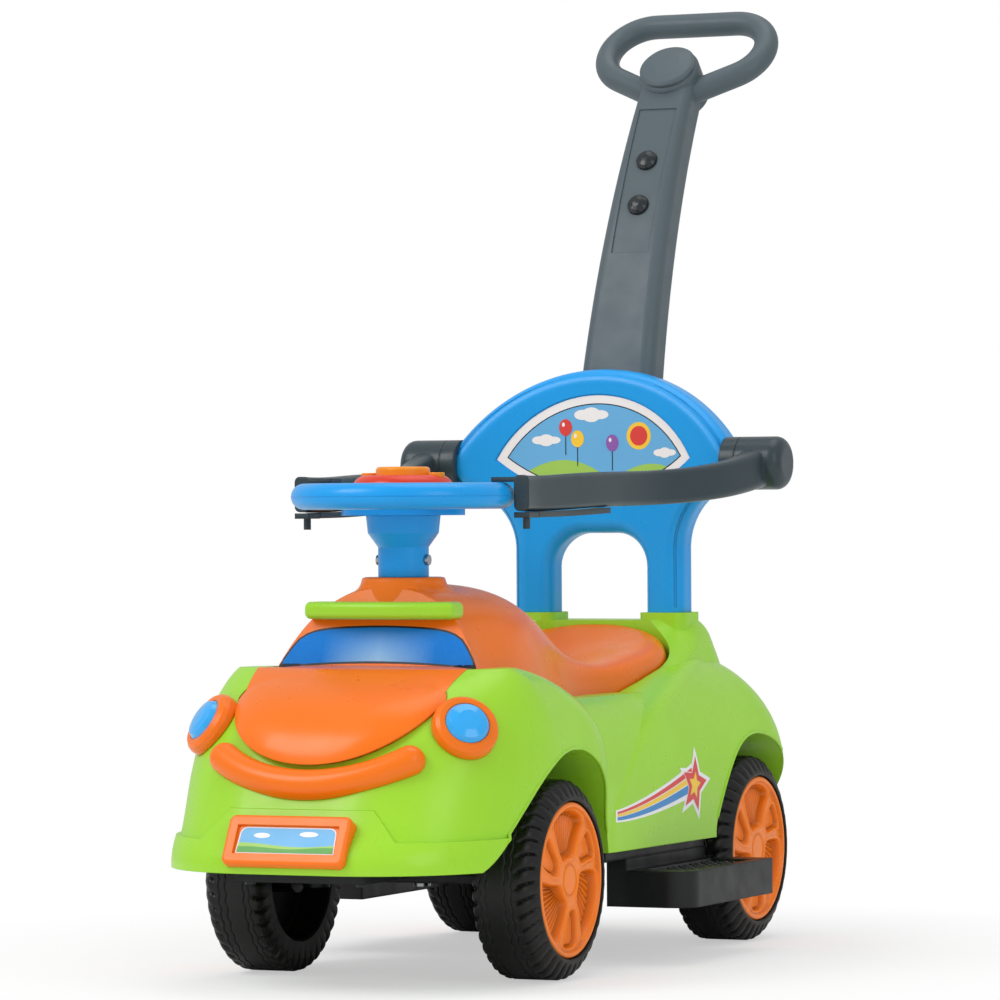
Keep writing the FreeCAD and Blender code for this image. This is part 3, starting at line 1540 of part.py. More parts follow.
back_shell = back_solid.cut(core)
tang_room = tang_box(S.fit_gap, pole_foot_z + S.fit_gap)
socket_half = S.tang_width / 2 + S.socket_wall
socket_front_y = S.back_front_y + S.back_depth - S.wall
socket_rear_y = tang_y + S.tang_depth / 2 + S.socket_wall
socket_top = pole_foot_z - S.fit_gap
socket_low = pole_foot_z - S.tang_length - S.socket_wall
socket_size = (socket_half * 2, socket_rear_y - socket_front_y, socket_top - socket_low)
socket = Part.makeBox(*[float(length) for length in socket_size], vec(-socket_half, socket_front_y, socket_low))
socket = socket.makeFillet(float(S.socket_wall), [
    edge for edge in socket.Edges if is_upright(edge) and edge.BoundBox.YMin > float(tang_y)])
back_front = back_shell.common(front_half).cut(eye_panel())
back_rear = back_shell.cut(front_half).fuse(socket)
screw_solids = []
for x, z in back_screw_places:
    for hand, side in SIDES:
        front_y = bent_y(x, S.wall)
        rear_y = bent_y(x - float(S.screw_head_radius), S.back_depth)
        stub = along_y(S.post_radius, x * side, front_y, rear_y, z).common(back_solid)
        pilot_y = front_y + wall
        hole = along_y(S.screw_radius + S.running_gap, x * side, pilot_y, rear_y, z)
        back_front = back_front.fuse(stub.common(front_half)).cut(hole)
        back_rear = back_rear.fuse(stub.cut(front_half)).cut(hole)
        shank = along_y(S.screw_radius, x * side, pilot_y + gap, rear_y, z)
        head = along_y(S.screw_head_radius, x * side, rear_y, rear_y + S.screw_head, z)
        screw_solids.append(shank.fuse(head))
back_front = back_front.cut([pin_hole, mirror_x(pin_hole)])
back_rear = back_rear.cut([tang_room, pin_hole, mirror_x(pin_hole)])
peg = pillar_box(-S.peg_inset, S.pillar_foot_z - S.peg_length, S.pillar_foot_z + S.wall).common(
    front_half)
back_front = back_front.fuse([peg, mirror_x(peg)])
feature("backrest_front", largest(back_front))
feature("backrest_rear", largest(back_rear))
feature("backrest_screws", Part.makeCompound(screw_solids))


# Guard arms

def guard_section(x, y, z, width, height):
    """Upright rectangle with round corners across the arm."""
    corner = min(width, height) * 0.35
    right = x + width / 2
    left = x - width / 2
    top = z + height / 2
    low = z - height / 2
    turn = corner * (1.0 - math.sqrt(0.5))

    def bend(start, middle, end):
        points = [Vector(u, y, v) for u, v in (start, middle, end)]
        return Part.Arc(*points).toShape()

    return Part.Wire([
        segment((left + corner, y, low), (right - corner, y, low)),
        bend((right - corner, low), (right - turn, low + turn), (right, low + corner)),
        segment((right, y, low + corner), (right, y, top - corner)),
        bend((right, top - corner), (right - turn, top - turn), (right - corner, top)),
        segment((right - corner, y, top), (left + corner, y, top)),
        bend((left + corner, top), (left + turn, top - turn), (left, top - corner)),
        segment((left, y, top - corner), (left, y, low + corner)),
        bend((left, low + corner), (left + turn, low + turn), (left + corner, low)),
    ])


def guard_stations():
    """Rows of middle X, Y, middle Z, width and height from the pivot to the steering wheel's rim."""
    thick = float(S.guard_thickness)
    high = float(S.guard_height)
    front_x = float(S.rim_radius + S.rim_tube + S.guard_rim_gap) + thick / 2
    front_y = float(S.front_axle_y) + float(S.guard_front_lag)
    front_z = float(S.rim_z) + float(S.guard_front_rise)
    pivot_y = float(S.pivot_y)
    pivot_z = float(S.pivot_z)
    rear_x = (float(S.barrel_inner_x) + float(S.barrel_outer_x)) / 2 - 3.0
    run = pivot_y - front_y
    return [
        (rear_x, pivot_y - 4.0, pivot_z - 2.0, 28.0, high + 6.0),
        (rear_x - 4.0, pivot_y - run * 0.11, pivot_z - 10.0, 20.0, high + 3.0),
        (rear_x - 17.0, pivot_y - run * 0.24, pivot_z - 17.0, thick + 2.0, high + 1.0),
        (front_x + 19.0, pivot_y - run * 0.38, pivot_z - 21.0, thick, high),
        (front_x + 7.0, pivot_y - run * 0.6, front_z + 3.0, thick, high),
        (front_x + 1.0, pivot_y - run * 0.82, front_z + 0.5, thick, high),
        (front_x, front_y, front_z, thick, high),
    ]


def guard_plate(x, y, z, width, height):
    """Upright section of the strip below the arm's section at one station."""
    top = z - height / 2 - gap * 2
    low = top - float(S.latch_thickness)
    left = x - width / 2
    right = x + width / 2
    return Part.makePolygon([Vector(left, y, low), Vector(right, y, low), Vector(right, y, top),
                             Vector(left, y, top), Vector(left, y, low)])


def make_guard():
    """Left guard arm in pieces: arm, under-cover and latch."""
    stations = guard_stations()
    bar = solid_loft([guard_section(*row) for row in stations])
    barrel_length = float(S.barrel_outer_x - S.barrel_inner_x)
    pivot = vec(S.barrel_inner_x, S.pivot_y, S.pivot_z)
    barrel = Part.makeCylinder(float(S.barrel_radius), barrel_length, pivot, Vector(1, 0, 0))
    far_edges = [e for e in barrel.Edges if e.BoundBox.XMin > float(S.barrel_outer_x) - 0.01]
    barrel = barrel.makeFillet(float(S.barrel_dome), far_edges)
    front_x, front_y, front_z, thick, high = stations[-1]
    tab_low = float(S.rim_z + S.rim_tube) + gap
    tab = Part.makeBox(float(S.tab_reach) + thick / 2, float(S.tab_length), float(S.tab_thickness),
                       Vector(front_x - thick / 2 - float(S.tab_reach), front_y, tab_low))
    arm = bar.fuse([barrel, tab])
    bore_length = float(S.pivot_pin_outer_x - S.barrel_inner_x) + gap
    arm = arm.cut(Part.makeCylinder(float(S.pivot_pin_radius + S.running_gap), bore_length, pivot,
                                    Vector(1, 0, 0)))
    plate_top = front_z - high / 2 - gap * 3
    latch_low = plate_top - float(S.latch_thickness)
    latch = Part.makeBox(thick, float(S.latch_length), float(S.latch_thickness),
                         Vector(front_x - thick / 2, front_y, latch_low))
    latch = latch.fuse(Part.makeCylinder(float(S.latch_peg_radius), float(S.latch_peg),
                                         vec(front_x, front_y + float(S.latch_length) / 2, latch_low - S.latch_peg)))
    cover_y = front_y + float(S.latch_length) + 1.0
    cover_rows = [(front_x, cover_y, front_z, thick, high), stations[-2], stations[-3]]
    cover = solid_loft([guard_plate(*row) for row in cover_rows])
    return arm, cover, latch


guard_arm, guard_cover, guard_latch = make_guard()
bracket = Part.makeCylinder(float(S.barrel_radius), float(S.barrel_inner_x - S.bracket_inner_x - S.fit_gap),
                            vec(S.bracket_inner_x, S.pivot_y, S.pivot_z), Vector(1, 0, 0))
bracket = bracket.cut([back_solid, pin_hole])
pivot_pin = Part.makeCylinder(float(S.pivot_pin_radius), pin_length, pin_start, Vector(1, 0, 0))
for stem, shape in (("guard_arm", guard_arm), ("guard_cover", guard_cover), ("arm_latch", guard_latch),
                    ("arm_bracket", bracket), ("arm_pin", pivot_pin)):
    feature(stem + "_left", largest(shape))
    feature(stem + "_right", mirror_x(largest(shape)))


# Push handle

def pole_place(lean, offset=0.0):
    """Point of the pole's middle line at a lean from the upright, moved towards its front face."""
    start = math.radians(float(S.pole_start_lean))
    angle = math.radians(lean)
    radius = float(S.pole_arc_radius)
    root = float(S.pole_root)
    foot_y = float(S.pole_foot_y) - root * math.tan(start)
    foot_z = float(pole_foot_z) - root
    y = foot_y + radius * (math.cos(start) - math.cos(angle)) - offset * math.cos(angle)
    z = foot_z + radius * (math.sin(angle) - math.sin(start)) + offset * math.sin(angle)
    return Vector(0, y, z)


def pole_lean(length):
    """Lean of the pole at a length along it from its foot."""
    return float(S.pole_start_lean) + math.degrees(length / float(S.pole_arc_radius))


def pole_arc(lean_from, lean_to, offset=0.0):
    middle = (lean_from + lean_to) / 2
    return Part.Arc(pole_place(lean_from, offset), pole_place(middle, offset), pole_place(lean_to, offset))


def pole_ring(lean, width):
    """Rounded rectangle across the pole at one lean."""
    depth = float(S.pole_depth)
    slice_block = Part.makeBox(width, depth, 1.0, Vector(-width / 2, -depth / 2, 0))
    slice_block = slice_block.makeFillet(float(S.pole_round), [e for e in slice_block.Edges if is_upright(e)])
    bottom = next(face for face in slice_block.Faces if face.BoundBox.ZMax < 0.01)
    ring = bottom.OuterWire
    ring.Placement = Placement(pole_place(lean), Rotation(Vector(1, 0, 0), -lean))
    return ring


def pole_solid():
    """Curved pole that narrows upwards."""
    start = float(S.pole_start_lean)
    bend = float(S.pole_end_lean) - start
    narrowing = float(S.pole_width - S.pole_top_width)
    rings = []
    for share in (0.0, 0.2, 0.4, 0.6, 0.8, 1.0):
        rings.append(pole_ring(start + bend * share, float(S.pole_width) - narrowing * share))
    return solid_loft(rings)


loop_lean = math.radians(float(S.loop_lean))
loop_origin = pole_place(float(S.pole_end_lean))
loop_up = Vector(0, math.sin(loop_lean), math.cos(loop_lean))
loop_front = Vector(0, -math.cos(loop_lean), math.sin(loop_lean))


def loop_point(u, v):
    return loop_origin + Vector(u, 0, 0) + loop_up * v


def loop_solid():
    """Grip loop: two legs, two round corners and a top bar."""
    tube = float(S.loop_tube)
    corner = float(S.loop_corner)
    centre_u = float(S.loop_half) - tube - corner
    top = float(S.loop_reach) - tube
    centre_v = top - corner
    angle = math.radians(float(S.loop_side_angle))
    foot = (centre_u + corner * math.cos(angle), centre_v - corner * math.sin(angle))
    mid = (centre_u + corner * math.cos((math.pi / 2 - angle) / 2), centre_v
           + corner * math.sin((math.pi / 2 - angle) / 2))
    heel_u = float(S.loop_heel)
    leg_run = (foot[0] - heel_u) / math.sin(angle)
    heel = (heel_u, foot[1] - leg_run * math.cos(angle))
    right_arc = Part.Arc(loop_point(centre_u, top), loop_point(*mid), loop_point(*foot))
    left_arc = Part.Arc(loop_point(-foot[0], foot[1]), loop_point(-mid[0], mid[1]), loop_point(-centre_u, top))
    path = Part.Wire([
        Part.makeLine(loop_point(-heel[0], heel[1]), loop_point(-foot[0], foot[1])),
        left_arc.toShape(),
        Part.makeLine(loop_point(-centre_u, top), loop_point(centre_u, top)),
        right_arc.toShape(),
        Part.makeLine(loop_point(*foot), loop_point(*heel)),
    ])
    start = loop_point(-heel[0], heel[1])
    ring = Part.Wire([Part.makeCircle(tube, start, loop_point(-foot[0], foot[1]) - start)])
    return path.makePipeShell([ring], True, False)


def pole_panel():
    """Shallow sunk panel on the pole's front face."""
    first = pole_lean(float(S.panel_start))
    last = pole_lean(float(S.panel_start + S.panel_length))
    face_offset = float(S.pole_depth) / 2
    sunk_arc = pole_arc(first, last, face_offset - float(S.pole_panel_recess))
    proud_arc = pole_arc(first, last, face_offset + 4.0)
    wire = Part.Wire([
        sunk_arc.toShape(),
        Part.makeLine(sunk_arc.EndPoint, proud_arc.EndPoint),
        proud_arc.toShape(),
        Part.makeLine(proud_arc.StartPoint, sunk_arc.StartPoint),
    ])
    width = float(S.panel_width)
    solid = Part.Face(wire).extrude(Vector(width, 0, 0))
    solid.translate(Vector(-width / 2, 0, 0))
    return solid


hub_centre = loop_point(0, float(S.cap_rise))
hub_depth = float(S.pole_depth) / 2 + float(S.cap_height) / 3
hub = Part.makeCylinder(float(S.cap_radius) + 2.0, hub_depth * 2, hub_centre - loop_front * hub_depth, loop_front)
hub = hub.makeFillet(5.0, [e for e in hub.Edges if isinstance(e.Curve, Part.Circle)])
above_foot = Part.makeBox(float(S.pole_width) * 2, float(S.pole_arc_radius), float(S.pole_arc_radius),
                          vec(-S.pole_width, S.back_front_y, pole_foot_z))
handle = pole_solid().common(above_foot).fuse([loop_solid(), hub]).cut(pole_panel())
handle = handle.fuse(tang_box(0, pole_foot_z + S.fit_gap))
feature("push_handle", largest(handle))
cap = turned([
    (0, 0),
    (S.cap_radius, 0),
    (S.cap_radius, S.cap_height * 0.4),
    (S.cap_radius * 0.9, S.cap_height * 0.75),
    (S.cap_radius * 0.5, S.cap_height * 0.95),
    (0, S.cap_height),
], hub_centre + loop_front * hub_depth, loop_front)
feature("handle_cap", cap)


def stud(length):
    lean = pole_lean(length)
    angle = math.radians(lean)
    front = Vector(0, -math.cos(angle), math.sin(angle))
    at = pole_place(lean, float(S.pole_depth) / 2 - float(S.pole_panel_recess))
    return turned([
        (0, 0),
        (S.stud_radius, 0),
        (S.stud_radius * 0.94, S.stud_height * 0.4),
        (S.stud_radius * 0.72, S.stud_height * 0.78),
        (S.stud_radius * 0.35, S.stud_height * 0.96),
        (0, S.stud_height),
    ], at + front * (gap / 2), front)


stud_low = float(S.stud_low)
feature("handle_studs", Part.makeCompound([stud(stud_low), stud(stud_low + float(S.stud_pitch))]))


# Chassis screws

def chassis_screw(x, y):
    head_at = vec(x, y, tray_bottom - S.screw_head)
    up = Vector(0, 0, 1)
    shank_length = float(S.screw_head + S.tray_thickness + S.screw_bite)
    return Part.makeCylinder(float(S.screw_radius), shank_length, head_at, up).fuse(
        Part.makeCylinder(float(S.screw_head_radius), float(S.screw_head), head_at, up))


feature("chassis_screws", Part.makeCompound([chassis_screw(x, y) for x, y in post_places]))


doc.recompute()
os.makedirs("parts", exist_ok=True)
failed = [obj.Name for obj in doc.Objects if "Invalid" in obj.State or "Error" in obj.State]
for obj in parts:
    if obj.Shape.isNull() or not obj.Shape.isValid():
        failed.append(obj.Label)
if failed:
    raise RuntimeError("not built: " + ", ".join(failed))
for obj in parts:
    obj.Shape.exportStep(f"parts/{obj.Label}.step")
    box = obj.Shape.BoundBox
    print(obj.Label, len(obj.Shape.Solids), round(obj.Shape.Volume / 1000, 1),
          [round(v, 1) for v in (box.XMin, box.YMin, box.ZMin, box.XMax, box.YMax, box.ZMax)])
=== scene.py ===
import json
import math

import bmesh
import bpy
import numpy as np
from mathutils import Matrix, Vector
from mathutils.bvhtree import BVHTree


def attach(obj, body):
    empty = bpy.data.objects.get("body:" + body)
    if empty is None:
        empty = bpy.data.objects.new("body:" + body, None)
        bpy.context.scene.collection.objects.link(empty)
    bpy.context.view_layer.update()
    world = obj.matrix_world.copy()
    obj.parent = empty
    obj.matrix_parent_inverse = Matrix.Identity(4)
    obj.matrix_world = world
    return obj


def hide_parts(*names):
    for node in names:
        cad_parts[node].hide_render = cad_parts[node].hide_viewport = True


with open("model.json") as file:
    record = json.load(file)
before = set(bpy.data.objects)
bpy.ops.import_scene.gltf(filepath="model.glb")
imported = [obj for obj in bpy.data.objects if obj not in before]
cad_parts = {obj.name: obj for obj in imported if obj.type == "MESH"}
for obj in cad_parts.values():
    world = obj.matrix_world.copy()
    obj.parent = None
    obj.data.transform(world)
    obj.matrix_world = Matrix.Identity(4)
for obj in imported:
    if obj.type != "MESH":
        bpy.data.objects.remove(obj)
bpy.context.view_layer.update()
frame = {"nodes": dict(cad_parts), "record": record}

nodes = frame["nodes"]
scene = bpy.context.scene
MM = 0.001
TURN = 2.0 * math.pi
SIDES = (("left", 1), ("right", -1))
UP = Vector((0.0, 0.0, 1.0))
DOWN = Vector((0.0, 0.0, -1.0))


# Colours and materials

NOISE_SPAN = (0.3, 0.7)
UNEVEN_SCALE = 45.0
BUMP_STRENGTH = 0.2
BEVEL_SAMPLES = 4
FLOW_SCALE = 7.0
FLOW_ROUGHNESS = 0.55
# Painted shade: samples, occlusion span and darkening factor for colour darkened in recesses.
PAINTED_SHADE_SAMPLES = 6
PAINTED_SHADE_SPAN = (0.35, 0.95)
PAINTED_SHADE_DARKNESS = 0.42
PLASTIC_SPECULAR = 0.3
COAT_ROUGHNESS = 0.12


def srgb(red, green, blue):
    """Linear colour from 0 to 255 screen values."""
    def channel(value):
        value = value / 255.0
        return value / 12.92 if value <= 0.04045 else ((value + 0.055) / 1.055) ** 2.4
    return channel(red), channel(green), channel(blue), 1.0


def scaled(colour, factor):
    """A colour made lighter or darker."""
    return tuple(min(1.0, part * factor) for part in colour[:3]) + (1.0,)


def new_material(name):
    """A node material with its tree and its shader."""
    material = bpy.data.materials.new(name)
    material.use_nodes = True
    tree = material.node_tree
    shader = tree.nodes["Principled BSDF"]
    return material, tree, shader


def add_node(tree, kind, **values):
    node = tree.nodes.new(kind)
    for key, value in values.items():
        setattr(node, key, value)
    return node


def object_coords(tree):
    return add_node(tree, "ShaderNodeTexCoord").outputs["Object"]


def noise_at(tree, coords, scale, detail=2.0, roughness=0.5):
    node = add_node(tree, "ShaderNodeTexNoise")
    node.inputs["Scale"].default_value = scale
    node.inputs["Detail"].default_value = detail
    node.inputs["Roughness"].default_value = roughness
    tree.links.new(coords, node.inputs["Vector"])
    return node.outputs["Fac"]


def map_range(tree, value, low, high, to_low, to_high):
    node = add_node(tree, "ShaderNodeMapRange")
    node.inputs["From Min"].default_value = low
    node.inputs["From Max"].default_value = high
    node.inputs["To Min"].default_value = to_low
    node.inputs["To Max"].default_value = to_high
    tree.links.new(value, node.inputs["Value"])
    return node.outputs["Result"]


def mix_colours(tree, factor, first, second):
    """Mix of two colours, each a value or a socket. Sockets 6, 7 and output 2 are the node's colour ones."""
    node = add_node(tree, "ShaderNodeMix", data_type="RGBA")
    for socket, value in ((6, first), (7, second)):
        if isinstance(value, tuple):
            node.inputs[socket].default_value = value
        else:
            tree.links.new(value, node.inputs[socket])
    tree.links.new(factor, node.inputs["Factor"])
    return node.outputs[2]


def surface_finish(tree, shader, coords, gloss, grain_scale, grain_depth, edge):
    """Uneven gloss, a fine moulded skin and softened edges."""
    uneven = noise_at(tree, coords, UNEVEN_SCALE, detail=3.0)
    tree.links.new(map_range(tree, uneven, *NOISE_SPAN, *gloss), shader.inputs["Roughness"])
    skin = noise_at(tree, coords, grain_scale)
    bump = add_node(tree, "ShaderNodeBump")
    bump.inputs["Strength"].default_value = BUMP_STRENGTH
    bump.inputs["Distance"].default_value = grain_depth
    tree.links.new(skin, bump.inputs["Height"])
    if edge > 0.0:
        soft = add_node(tree, "ShaderNodeBevel", samples=BEVEL_SAMPLES)
        soft.inputs["Radius"].default_value = edge
        tree.links.new(soft.outputs["Normal"], bump.inputs["Normal"])
    tree.links.new(bump.outputs["Normal"], shader.inputs["Normal"])


def plastic(name, colour, gloss=(0.26, 0.36), grain_scale=900.0, grain_depth=0.00002, coat=0.08, drift=0.04,
            edge=0.0012, painted_shade_reach=0.0):
    """Moulded plastic: faint flow marks in its colour, painted shade darkening its recesses when asked, and a
    fine skin.
    """
    material, tree, shader = new_material(name)
    coords = object_coords(tree)
    flow = noise_at(tree, coords, FLOW_SCALE, detail=4.0, roughness=FLOW_ROUGHNESS)
    flow_share = map_range(tree, flow, *NOISE_SPAN, 0.0, 1.0)
    base = mix_colours(tree, flow_share, scaled(colour, 1.0 - drift), scaled(colour, 1.0 + drift))
    # Painted shade: the base colour darkens where ambient occlusion finds a recess.
    if painted_shade_reach > 0.0:
        painted_shade = add_node(tree, "ShaderNodeAmbientOcclusion", samples=PAINTED_SHADE_SAMPLES)
        painted_shade.inputs["Distance"].default_value = painted_shade_reach
        unshaded_share = map_range(tree, painted_shade.outputs["AO"], *PAINTED_SHADE_SPAN, 0.0, 1.0)
        base = mix_colours(tree, unshaded_share, scaled(colour, PAINTED_SHADE_DARKNESS), base)
    tree.links.new(base, shader.inputs["Base Color"])
    surface_finish(tree, shader, coords, gloss, grain_scale, grain_depth, edge)
    shader.inputs["Specular IOR Level"].default_value = PLASTIC_SPECULAR
    shader.inputs["Coat Weight"].default_value = coat
    shader.inputs["Coat Roughness"].default_value = COAT_ROUGHNESS
    return material


def printed(name, colour):
    """Ink on a sticker: slightly mottled, satin."""
    return plastic(name, colour, gloss=(0.3, 0.42), grain_scale=500.0, coat=0.1, drift=0.06, edge=0.0)


MATT = {"gloss": (0.38, 0.52), "grain_scale": 1600.0, "grain_depth": 0.0001, "coat": 0.05}
SATIN = {"gloss": (0.26, 0.38), "grain_scale": 1600.0, "grain_depth": 0.0001}
STEEL_GRAIN = {"grain_scale": 2000.0, "coat": 0.0}
SOFT_EDGE = 0.003
# The wheel discs get painted shade in their pockets, darkened by ambient occlusion.
DISC_PAINTED_SHADE_REACH = 0.009
lime = plastic("lime_plastic", srgb(158, 218, 48))
orange = plastic("orange_plastic", srgb(246, 118, 14))
disc_orange = plastic("disc_plastic", srgb(250, 130, 20), edge=0.0, painted_shade_reach=DISC_PAINTED_SHADE_REACH)
blue = plastic("blue_plastic", srgb(18, 158, 236))
red = plastic("red_plastic", srgb(226, 60, 36))
amber = plastic("amber_plastic", srgb(248, 150, 24))
grey = plastic("grey_plastic", srgb(82, 95, 101), **MATT)
slate = plastic("slate_plastic", srgb(50, 64, 70), edge=SOFT_EDGE, **SATIN)
stud_black = plastic("stud_plastic", srgb(34, 40, 43), gloss=(0.18, 0.28), coat=0.2)
black = plastic("black_plastic", srgb(20, 22, 24), edge=SOFT_EDGE, **MATT)
tyre_black = plastic("tyre_plastic", srgb(13, 14, 14), edge=0.0, **MATT)
lens_blue = plastic("lens_plastic", srgb(40, 170, 244), gloss=(0.08, 0.14), coat=0.6)
steel = plastic("zinc_steel", srgb(176, 178, 182), gloss=(0.25, 0.42), **STEEL_GRAIN)
steel.node_tree.nodes["Principled BSDF"].inputs["Metallic"].default_value = 1.0
dark_steel = plastic("dark_steel", srgb(44, 46, 48), gloss=(0.35, 0.5), **STEEL_GRAIN)
ink_white = printed("ink_white", srgb(240, 241, 242))
ink_line = printed("ink_line", srgb(32, 36, 44))
ink_sky = printed("ink_sky", srgb(104, 178, 228))
ink_far = printed("ink_far_hill", srgb(158, 204, 92))
ink_near = printed("ink_near_hill", srgb(86, 164, 68))
ink_sun = printed("ink_sun", srgb(250, 206, 60))
ink_red = printed("ink_red", srgb(220, 66, 62))
ink_violet = printed("ink_violet", srgb(142, 92, 176))
ink_blue = printed("ink_blue", srgb(48, 138, 206))

PAINT = {
    "green_gloss": lime,
    "orange_gloss": orange,
    "red_gloss": red,
    "amber_gloss": amber,
    "blue_gloss": blue,
    "lens_blue": lens_blue,
    "grey_plastic": grey,
    "black_plastic": black,
    "tyre_black": tyre_black,
    "steel": steel,
}
OWN_PAINT = {"chassis_screws": dark_steel, "handle_studs": stud_black}
for hand, _ in SIDES:
    for name in ("guard_arm", "guard_cover", "arm_bracket", "arm_latch"):
        OWN_PAINT[f"{name}_{hand}"] = slate
SMOOTH_ANGLE = math.radians(32.0)


def smooth(mesh):
    """Smooth shading that keeps the sharp edges."""
    mesh.polygons.foreach_set("use_smooth", [True] * len(mesh.polygons))
    mesh.set_sharp_from_angle(angle=SMOOTH_ANGLE)


for part in frame["record"]["subparts"]:
    cad = nodes[part["node"]]
    cad.data.materials.clear()
    cad.data.materials.append(OWN_PAINT.get(part["node"], PAINT[part["material_slot"]]))
    smooth(cad.data)


# Mesh helpers, in millimetres

STEEP = 0.1
END_TAPER = 0.3


def make_piece(name, points, faces, materials, body, material_of=None, stands_for=()):
    """A piece that rides on a body and may stand for CAD nodes."""
    mesh = bpy.data.meshes.new(name)
    mesh.from_pydata([tuple(float(value) * MM for value in point) for point in points], [], faces)
    for material in materials:
        mesh.materials.append(material)
    if material_of is not None:
        mesh.polygons.foreach_set("material_index", material_of)
    edit = bmesh.new()
    edit.from_mesh(mesh)
    bmesh.ops.recalc_face_normals(edit, faces=edit.faces[:])
    edit.to_mesh(mesh)
    edit.free()
    smooth(mesh)
    piece = bpy.data.objects.new(name, mesh)
    scene.collection.objects.link(piece)
    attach(piece, body)
    if stands_for:
        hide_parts(*stands_for)


def grid_faces(rows, columns, ring_rows=False):
    """Faces of a grid whose columns close into a ring, and its rows too when asked."""
    faces = []
    for row in range(rows if ring_rows else rows - 1):
        below = row * columns
        above = (row + 1) % rows * columns
        for column in range(columns):
            after = (column + 1) % columns
            faces.append((below + column, below + after, above + after, above + column))
    return faces


def tube(path, radius, sides=8):
    """Round bead along an open path, with closed ends."""
    points = []
    count = len(path)
    for index, middle in enumerate(path):
        ahead = (path[min(index + 1, count - 1)] - path[max(index - 1, 0)]).normalized()
        across = ahead.cross(UP)
        if across.length < STEEP:
            across = ahead.cross(Vector((0, 1, 0)))
        across.normalize()
        upward = across.cross(ahead)
        taper = END_TAPER if index in (0, count - 1) else 1.0
        for step in range(sides):
            angle = TURN * step / sides
            points.append(middle + (across * math.cos(angle) + upward * math.sin(angle)) * radius * taper)
    faces = grid_faces(count, sides)
    faces.append(tuple(range(sides)))
    faces.append(tuple(range((count - 1) * sides, count * sides)))
    return points, faces


def ring(centre, radius, bead, axis="z", columns=96, sides=8):
    """Round bead bent into a closed ring about an axis."""
    points = []
    for column in range(columns):
        angle = TURN * column / columns
        for step in range(sides):
            turn = TURN * step / sides
            reach = radius + bead * math.cos(turn)
            along = bead * math.sin(turn)
            flat = (reach * math.cos(angle), reach * math.sin(angle))
            point = (flat[0], flat[1], along) if axis == "z" else (along, flat[0], flat[1])
            points.append(Vector(centre) + Vector(point))
    return points, grid_faces(columns, sides, ring_rows=True)


def joined(shapes):
    """Several point and face lists as one."""
    points = []
    faces = []
    for more_points, more_faces in shapes:
        start = len(points)
        points.extend(more_points)
        faces.extend(tuple(start + index for index in face) for face in more_faces)
    return points, faces


def surface_of(name):
    """A CAD node's surface, to cast lines at."""
    mesh = nodes[name].data
    places = [vertex.co.copy() for vertex in mesh.vertices]
    return BVHTree.FromPolygons(places, [tuple(face.vertices) for face in mesh.polygons])


def struck(surface, start, direction):
    """Where a line from a start meets a surface, or nothing."""
    place = surface.ray_cast(Vector(start) * MM, Vector(direction))[0]
    return None if place is None else place / MM


# Wheels

AXLES = (("front", -209.0), ("rear", 201.0))
AXLE_Z = 80.0
WHEEL_INNER_X = 92.5
TYRE_RADIUS = 80.0
TYRE_COLUMNS = 600
TREAD_LOW = 6.0
TREAD_HIGH = 43.5
TREAD_STEP = 0.4
SIPE_LINES = (9.0, 14.0, 30.0, 36.0)
SIPE_WAVES = 40
SIPE_SWING = 0.9
SIPE_HALF = 0.55
SIPE_DEPTH = 0.8
LUGS = 40
LUG_SLANT = 0.3
LUG_SLANT_LENGTH = 10.0
LUG_MIDDLE = 44.0
LUG_DEPTH = 2.3
LUG_SHARPNESS = 10
LUG_SWELL = 0.7
OUTER_LUG_ALONG = (37.0, 43.0)
OUTER_LUG_REACH = (65.5, 71.0)
INNER_LUG_ALONG = (9.0, 4.0)
INNER_LUG_REACH = (68.0, 75.0)
HUB_PROFILE = ((39.0, 5.1), (4.0, 5.1), (4.0, 16.0), (28.0, 16.0), (28.0, 52.0), (26.0, 54.0), (2.0, 54.4))
INNER_WALL = ((0.4, 56.0), (0.2, 62.0), (0.2, 70.0), (0.6, 74.0), (1.6, 77.0), (3.4, 79.2))
OUTER_WALL = ((44.5, 79.8), (46.0, 79.2), (47.5, 78.1), (49.0, 76.4), (50.4, 74.4), (51.7, 72.2), (52.8, 70.0),
              (53.7, 67.8), (54.3, 66.2), (54.7, 65.0), (54.6, 64.0), (54.0, 63.2), (52.0, 62.8), (39.0, 62.8))


def smooth_step(low, high, value):
    share = np.clip((value - low) / (high - low), 0.0, 1.0)
    return share * share * (3.0 - 2.0 * share)


def ridge(offset, half):
    """Soft ridge of height 1 where the offset is nothing."""
    return np.exp(-(offset / half) ** 2)


def zigzag(turns):
    """Sharp wave between -1 and 1."""
    return 1.0 - 4.0 * np.abs(turns - np.floor(turns) - 0.5)


def wheel_points(along, reach, angles, side, axle_y):
    """Points of a wheel from its distance along the axle and its radius."""
    x = (WHEEL_INNER_X + along) * side
    y = axle_y + reach * np.cos(angles)
    z = AXLE_Z + reach * np.sin(angles)
    return np.stack([x, y, z], axis=-1).reshape(-1, 3).tolist()


